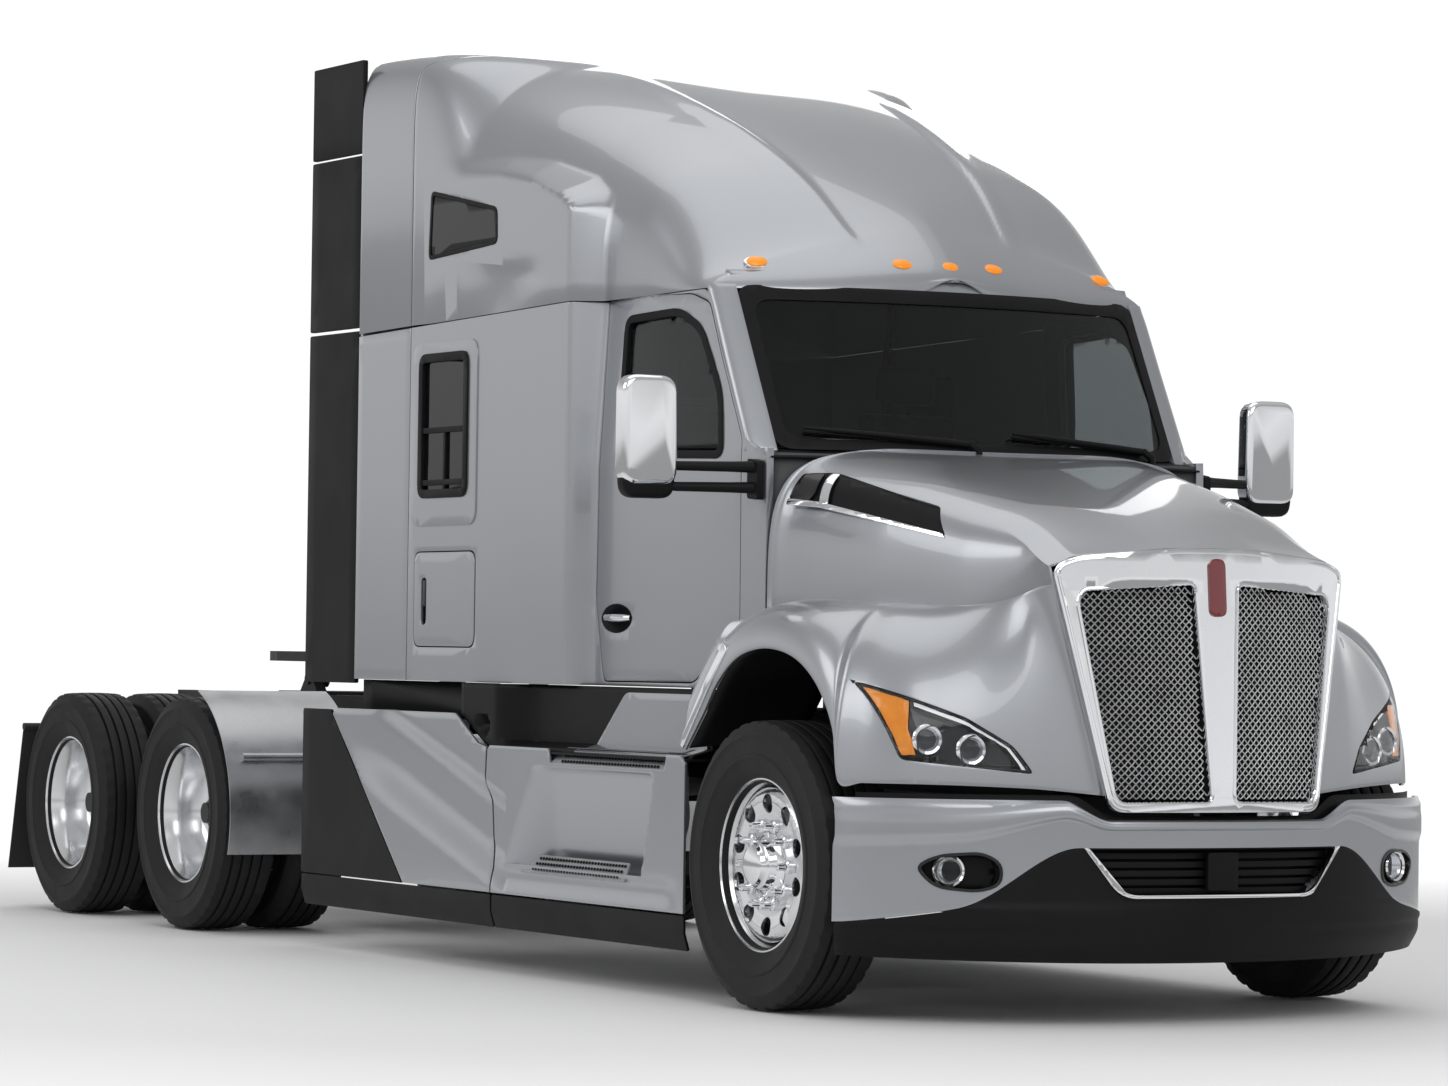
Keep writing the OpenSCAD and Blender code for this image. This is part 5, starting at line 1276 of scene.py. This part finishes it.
def holed_disc(profile, holes, pitch_r, hole_r, x_mid, f, sign, across=120, inner=0.08, outer=0.27,
               thick=0.010):
    """A pressed disc with round hand holes; profile gives how far out the disc stands at each radius."""
    bm = bmesh.new()
    bmesh.ops.create_grid(bm, x_segments=44, y_segments=44, size=outer * 1.05)
    for r, keep in ((outer, True), (inner, False)):
        carve(bm, [(r * cos(2 * pi * i / 64), r * sin(2 * pi * i / 64)) for i in range(64)], keep)
    for k in range(holes):
        t = 2 * pi * (k + 0.5) / holes
        cx, cy = pitch_r * cos(t), pitch_r * sin(t)
        carve(bm, [(cx + hole_r * cos(2 * pi * i / 20), cy + hole_r * sin(2 * pi * i / 20))
                   for i in range(20)], False)
    bmesh.ops.remove_doubles(bm, verts=bm.verts[:], dist=2e-5)
    for v in bm.verts:
        y, z = v.co.x, v.co.y
        v.co = Vector((sign * (x_mid + along(profile, hypot(y, z))), NOSE + f + y, AXLE_Z + z))
    return turned_out(bm, (sign, 0, 0))


def lug_ring(count, pitch_r, x_base, length, f, sign, r):
    """Nut covers in a ring."""
    nuts = []
    for k in range(count):
        t = 2 * pi * k / count
        y, z = pitch_r * cos(t), pitch_r * sin(t)
        nuts.append(spun([(0, length), (r * 0.5, length - 0.001), (r * 0.72, length - 0.006),
                          (r * 0.75, length * 0.45), (r * 0.85, length * 0.3),
                          (r * 1.25, length * 0.22), (r * 1.3, 0), (0, 0)], 16,
                          (sign * x_base, NOSE + f + y, AXLE_Z + z), (sign, 0, 0), False))
    return joined(*nuts)


FLANGE = 0.312
for side, sign in SIDES:
    body = f"front_wheel_{side}"
    piece(f"front_tyre_skin_{side}", tyre(FRONT_WHEEL_X, FRONT_AXLE_F, sign, 0.290, 4, 0.045), body, TYRE,
          angle=40, stands_for=(f"front_tyre_{side}",))
    rim = [(FLANGE, 0.098), (FLANGE, 0.106), (0.300, 0.109), (0.296, 0.100), (0.292, 0.080), (0.278, 0.066),
           (0.268, 0.020), (0.262, -0.060),
           (0.292, -0.085), (0.296, -0.100), (FLANGE, -0.106), (FLANGE, -0.098), (0.299, -0.090),
           (0.276, -0.062), (0.276, 0.020), (0.290, 0.070), (0.298, 0.092)]
    shell = spun([(r, h * sign) for r, h in rim], 96, (sign * FRONT_WHEEL_X, NOSE + FRONT_AXLE_F, AXLE_Z))
    piece(f"front_rim_shell_{side}", shell, body, ALLOY, angle=50, stands_for=(f"front_rim_{side}",))
    dish = ((0.0, 0.075), (0.150, 0.075), (0.185, 0.078), (0.222, 0.086), (0.250, 0.084), (0.272, 0.068))
    disc = holed_disc(dish, 10, 0.2165, 0.034, FRONT_WHEEL_X, FRONT_AXLE_F, sign, inner=0.07, outer=0.272)
    piece(f"front_disc_{side}", disc, body, ALLOY, 0.012, 0.004, segments=3)
    piece(f"front_lugs_{side}", lug_ring(10, LUG_R, 1.168, 0.052, FRONT_AXLE_F, sign, 0.019), body, CHROME)
    hub = spun([(0, 0.078), (0.052, 0.077), (0.066, 0.070), (0.070, 0.058), (0.074, 0.050), (0.082, 0.046),
                (0.092, 0.020), (0.112, 0.012), (0.118, 0.002), (0, 0.0)],
               48, (sign * 1.166, NOSE + FRONT_AXLE_F, AXLE_Z), (sign, 0, 0), False)
    piece(f"front_hub_cap_{side}", hub, body, CHROME, angle=40)
    for number, f in enumerate(DRIVE_AXLE_F, 1):
        body = f"drive{number}_wheels_{side}"
        pair = [tyre(x, f, sign, 0.285, 4, 0.05) for x in (0.967 + 0.1715, 0.967 - 0.1715)]
        piece(f"drive{number}_tyre_skins_{side}", joined(*pair), body, TYRE, angle=40,
              stands_for=(f"drive{number}_tyres_{side}",))
        outer = [(FLANGE, 0.092), (FLANGE, 0.104), (0.300, 0.107), (0.294, 0.096), (0.288, 0.075),
                 (0.272, 0.060), (0.262, 0.010), (0.246, -0.070), (0.222, -0.098),
                 (0.170, -0.106), (0.135, -0.106), (0.135, -0.118), (0.172, -0.118), (0.232, -0.108),
                 (0.256, -0.078), (0.285, -0.085), (0.296, -0.100),
                 (FLANGE, -0.106), (FLANGE, -0.098), (0.299, -0.090), (0.276, -0.062), (0.276, 0.010),
                 (0.290, 0.070), (0.298, 0.090)]
        shell = spun([(r, h * sign) for r, h in outer], 96, (sign * 1.1385, NOSE + f, AXLE_Z))
        inner_rim = [(r, -h) for r, h in outer]
        second = spun([(r, h * sign) for r, h in inner_rim], 64, (sign * 0.7955, NOSE + f, AXLE_Z))
        piece(f"drive{number}_rim_shells_{side}", joined(shell, second), body, ALLOY, angle=50,
              stands_for=(f"drive{number}_rims_{side}",))
        piece(f"drive{number}_lugs_{side}", lug_ring(10, LUG_R, 1.030, 0.040, f, sign, 0.018), body, CHROME)
        hub = spun([(0, 0.088), (0.060, 0.086), (0.078, 0.078), (0.084, 0.066), (0.098, 0.060),
                    (0.104, 0.050), (0.112, 0.0), (0.118, -0.01), (0, -0.01)],
                   40, (sign * 1.030, NOSE + f, AXLE_Z), (sign, 0, 0), False)
        piece(f"drive{number}_hub_{side}", hub, body, GLOSS_BLACK, angle=40)
        bolts = []
        for k in range(8):
            t = 2 * pi * k / 8
            bolts.append(spun([(0, 0.012), (0.006, 0.012), (0.008, 0.009), (0.008, 0), (0, 0)], 6,
                              (sign * 1.108, NOSE + f + 0.062 * cos(t), AXLE_Z + 0.062 * sin(t)),
                              (sign, 0, 0), False))
        piece(f"drive{number}_hub_bolts_{side}", joined(*bolts), body, ZINC)

# ---------------------------------------------------------------- cabin
cabin_floor = brick((-1.06, 1.06), (NOSE + 1.60, NOSE + 4.66), (1.122, 1.15))
for v in cabin_floor.verts:
    if v.co.y < NOSE + 2:
        v.co.x *= 0.8
piece("cabin_floor", cabin_floor, "chassis", TRIM)
wall = drape(flat_grid(-0.92, 0.92, 1.13, 1.98, 30, 8), lambda x, z: at(x, cowl_f(x) + 0.02, z))
piece("cabin_firewall", turned_out(wall, (0, -1, 0)), "chassis", TRIM, 0.02)
ceiling = drape(flat_grid(2.0, 4.6, 12, 168, 30, 40), lambda f,
                a: roof_point(f, a) * 0.93 + at(0, f, 1.9) * 0.07)
piece("cabin_ceiling", turned_out(ceiling, (0, 0, -1)), "chassis", LINING, 0.01)


def stuffed(name, bm, body, material, cap, stands_for=()):
    """Swells a closed shape with a short cloth run, with no point moving further than the cap."""
    mesh = bpy.data.meshes.new(name)
    bm.to_mesh(mesh)
    bm.free()
    obj = bpy.data.objects.new(name, mesh)
    bpy.context.scene.collection.objects.link(obj)
    mesh.materials.append(material)
    bpy.context.view_layer.objects.active = obj
    voxels = obj.modifiers.new("remesh", "REMESH")
    voxels.mode = "VOXEL"
    voxels.voxel_size = 0.014
    graph = bpy.context.evaluated_depsgraph_get()
    fresh = bpy.data.meshes.new_from_object(obj.evaluated_get(graph))
    obj.modifiers.clear()
    obj.data = fresh
    start = [v.co.copy() for v in fresh.vertices]
    cloth = obj.modifiers.new("cloth", "CLOTH")
    cloth.settings.use_pressure = True
    cloth.settings.uniform_pressure_force = 4
    cloth.settings.effector_weights.gravity = 0
    scene = bpy.context.scene
    cloth.point_cache.frame_start, cloth.point_cache.frame_end = 1, 12
    for step in range(1, 13):
        scene.frame_set(step)
    graph = bpy.context.evaluated_depsgraph_get()
    swollen = bpy.data.meshes.new_from_object(obj.evaluated_get(graph))
    obj.modifiers.clear()
    obj.data = swollen
    for v, home in zip(swollen.vertices, start):
        move = v.co - home
        if move.length > cap:
            v.co = home + move.normalized() * cap
    scene.frame_set(1)
    if not obj.data.materials:
        obj.data.materials.append(material)
    soft = obj.modifiers.new("smooth", "SUBSURF")
    soft.levels = soft.render_levels = 1
    obj.data.shade_smooth()
    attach(obj, body)
    if stands_for:
        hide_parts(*stands_for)
    return obj


def cushion(x, y, z, round_by):
    """A block with soft edges, as the start of a padded piece."""
    bm = brick(x, y, z)
    bmesh.ops.bevel(bm, geom=bm.edges[:], offset=round_by, segments=3, profile=0.5, affect="EDGES",
                    material=-1)
    return closed(bm)


for side, sign in SIDES:
    x = sign * 0.45
    base = cushion((x - 0.235, x + 0.235), (NOSE + 2.36, NOSE + 2.84), (1.560, 1.660), 0.035)
    stuffed(f"seat_cushion_{side}", base, "chassis", SEAT_CLOTH, 0.014, ("seats",) if sign > 0 else ())
    back = cushion((x - 0.225, x + 0.225), (NOSE + 2.80, NOSE + 2.90), (1.660, 2.220), 0.035)
    for v in back.verts:
        v.co.y += (v.co.z - 1.66) * 0.16
    stuffed(f"seat_back_{side}", back, "chassis", SEAT_CLOTH, 0.014)
    rest = cushion((x - 0.13, x + 0.13), (NOSE + 2.905, NOSE + 2.975), (2.245, 2.40), 0.025)
    stuffed(f"seat_headrest_{side}", rest, "chassis", SEAT_CLOTH, 0.008)
    base = joined(brick((x - 0.20, x + 0.20), (NOSE + 2.40, NOSE + 2.80), (1.515, 1.552)),
                  spun([(0.16, 0), (0.17, 0.01), (0.11, 0.18), (0.11, 0.36), (0, 0.36), (0, 0)], 32,
                       (x, NOSE + 2.60, 1.151), (0, 0, 1), False))
    piece(f"seat_pedestal_{side}", base, "chassis", TRIM, edge=0.008)
mattress = cushion((-1.045, 1.045), (NOSE + 3.575, NOSE + 4.625), (1.700, 1.815), 0.035)
stuffed("bunk_mattress", mattress, "chassis", BEDDING, 0.012, ("bunk",))
pillow = cushion((0.55, 0.98), (NOSE + 3.80, NOSE + 4.40), (1.845, 1.925), 0.03)
stuffed("bunk_pillow", pillow, "chassis", BEDDING, 0.02)
board = joined(brick((-1.07, 1.07), (NOSE + 3.50, NOSE + 4.64), (1.655, 1.680)),
               brick((-1.07, 1.07), (NOSE + 3.48, NOSE + 3.50), (1.15, 1.68)))
piece("bunk_board", board, "chassis", TRIM, edge=0.003)

# Row of bolts on each fender ahead of the drive tyres
for side, sign in SIDES:
    bolts = []
    for x in (0.74, 0.86, 1.06, 1.18):
        for up in (0.930, 0.985):
            angle = 180 - 180 * (up - AXLE_Z) / pi / 0.55
    for i in range(4):
        t = radians(180 - (28 + i * 11))
        r = 0.548
        for x in (0.70, 1.235):
            place = at(sign * x, DRIVE_AXLE_F[0] + r * cos(t), AXLE_Z + r * sin(t))
            bolts.append(spun([(0, 0.008), (0.006, 0.008), (0.009, 0.004), (0.010, 0), (0, 0)], 12, place,
                              (0, cos(t), sin(t)), False))
    piece(f"fender_bolts_{side}", joined(*bolts), "chassis", ZINC)
for side, sign in SIDES:
    glow = prism(rounded([(sign * 0.300, 0.825), (sign * 0.340, 0.825), (sign * 0.340, 0.915),
                          (sign * 0.300, 0.915)], 0.012, 3),
                 NOSE + 8.301, NOSE + 8.330, 1)
    piece(f"tail_lamp_{side}", glow, "chassis", RED, edge=0.004)
    # A black sheet in the gap under the sleeper, behind the skirt: painted shade standing in for the dark
    # space there.
    under = panel([(3.42, 0.97), (4.69, 0.97), (4.69, 1.118), (3.42, 1.118)], lambda f, z,
                  s=sign: at(s * 1.10, f, z), (sign, 0, 0), 0.1)
    piece(f"under_cab_shade_panel_{side}", under, "chassis", BLACK_PLASTIC, 0.006)
    strip = [(1.395, 1.262), (1.425, 1.290), (1.722, 0.925), (1.700, 0.905)]
    blade = panel(strip, lambda f, z, s=sign: at(s * (1.2075 - 0.012 * clamp((z - 1.15) / 0.15)), f, z),
                  (sign, 0, 0), 0.05)
    piece(f"wing_tail_strip_{side}", blade, "hood", CHROME, 0.008, 0.003)

# ---------------------------------------------------------------- floor, light and camera
ground = bmesh.new()
bmesh.ops.create_grid(ground, x_segments=1, y_segments=1, size=120)
mesh = bpy.data.meshes.new("floor")
ground.to_mesh(mesh)
ground.free()
floor = bpy.data.objects.new("floor", mesh)
bpy.context.scene.collection.objects.link(floor)
floor.location.z = cad_bounds[0][2] - 0.002
mesh.materials.append(finish("pale_floor", (0.86, 0.86, 0.86), (0.88, 0.88, 0.88), 30, 0.5, (0.6, 0.7),
                             0.02, 0.001))
faded = mesh.materials[0].node_tree
spot = faded.nodes.new("ShaderNodeTexCoord")
reach = faded.nodes.new("ShaderNodeVectorMath")
reach.operation = "LENGTH"
fade = faded.nodes.new("ShaderNodeMapRange")
faded.links.new(spot.outputs["Object"], reach.inputs[0])
faded.links.new(reach.outputs["Value"], fade.inputs["Value"])
for socket, value in (("From Min", 5.0), ("From Max", 9.5), ("To Min", 1.0), ("To Max", 0.0)):
    fade.inputs[socket].default_value = value
for node in faded.nodes:
    if node.type == "BSDF_PRINCIPLED":
        faded.links.new(fade.outputs["Result"], node.inputs["Alpha"])

world = bpy.data.worlds.new("studio")
bpy.context.scene.world = world
world.use_nodes = True
nodes, links = world.node_tree.nodes, world.node_tree.links
ground_node = nodes["Background"]
place = nodes.new("ShaderNodeTexCoord")
split = nodes.new("ShaderNodeSeparateXYZ")
links.new(place.outputs["Generated"], split.inputs["Vector"])
ramp = nodes.new("ShaderNodeValToRGB")
links.new(split.outputs["Z"], ramp.inputs["Fac"])
stops = ((0.0, 0.7), (0.03, 1.5), (0.10, 1.75), (0.20, 1.25), (0.40, 0.75), (0.70, 1.0), (1.0, 1.1))
for end, (where, level) in zip(ramp.color_ramp.elements, (stops[0], stops[-1])):
    end.position = where
    end.color = (level, level, level, 1)
for where, level in stops[1:-1]:
    ramp.color_ramp.elements.new(where).color = (level, level, level * 1.01, 1)
seen = nodes.new("ShaderNodeLightPath")
choose = nodes.new("ShaderNodeMix")
choose.data_type = "RGBA"
links.new(seen.outputs["Is Camera Ray"], choose.inputs["Factor"])
links.new(ramp.outputs["Color"], choose.inputs["A"])
choose.inputs["B"].default_value = (2.1, 2.1, 2.1, 1)
links.new(choose.outputs["Result"], ground_node.inputs["Color"])
ground_node.inputs["Strength"].default_value = 0.5


def lamp(name, place, target, size, power):
    data = bpy.data.lights.new(name, "AREA")
    data.shape = "RECTANGLE"
    data.size, data.size_y = size
    data.energy = power
    obj = bpy.data.objects.new(name, data)
    bpy.context.scene.collection.objects.link(obj)
    obj.location = place
    obj.rotation_euler = (Vector(target) - Vector(place)).to_track_quat("-Z", "Y").to_euler()


lamp("front_softbox", (-3.0, -14.0, 9.0), (0, -2.5, 1.5), (12, 7), 520)
lamp("side_softbox", (-13.0, -1.0, 8.0), (0, 0, 1.8), (12, 5), 380)
lamp("top_softbox", (0.0, 0.0, 12.0), (0, 0, 0), (9, 12), 270)
lamp("back_softbox", (7.0, 13.0, 8.0), (0, 2, 1.5), (9, 5), 220)

yaw, pitch, roll = 0.5012, 0.0207, 0.0140
forward = Vector((sin(yaw) * cos(pitch), cos(yaw) * cos(pitch), sin(pitch)))
right = forward.cross(Vector((0, 0, 1))).normalized()
up = right.cross(forward)
right, up = right * cos(roll) + up * sin(roll), up * cos(roll) - right * sin(roll)
turn = Matrix((right, up, -forward)).transposed().to_4x4()
data = bpy.data.cameras.new("view")
data.sensor_width = 36
data.lens = 124.74
data.clip_end = 400
camera = bpy.data.objects.new("view", data)
bpy.context.scene.collection.objects.link(camera)
camera.matrix_world = Matrix.Translation((-9.789, -18.439, 1.273)) @ turn
bpy.context.scene.camera = camera
bpy.context.scene.view_settings.view_transform = "Standard"
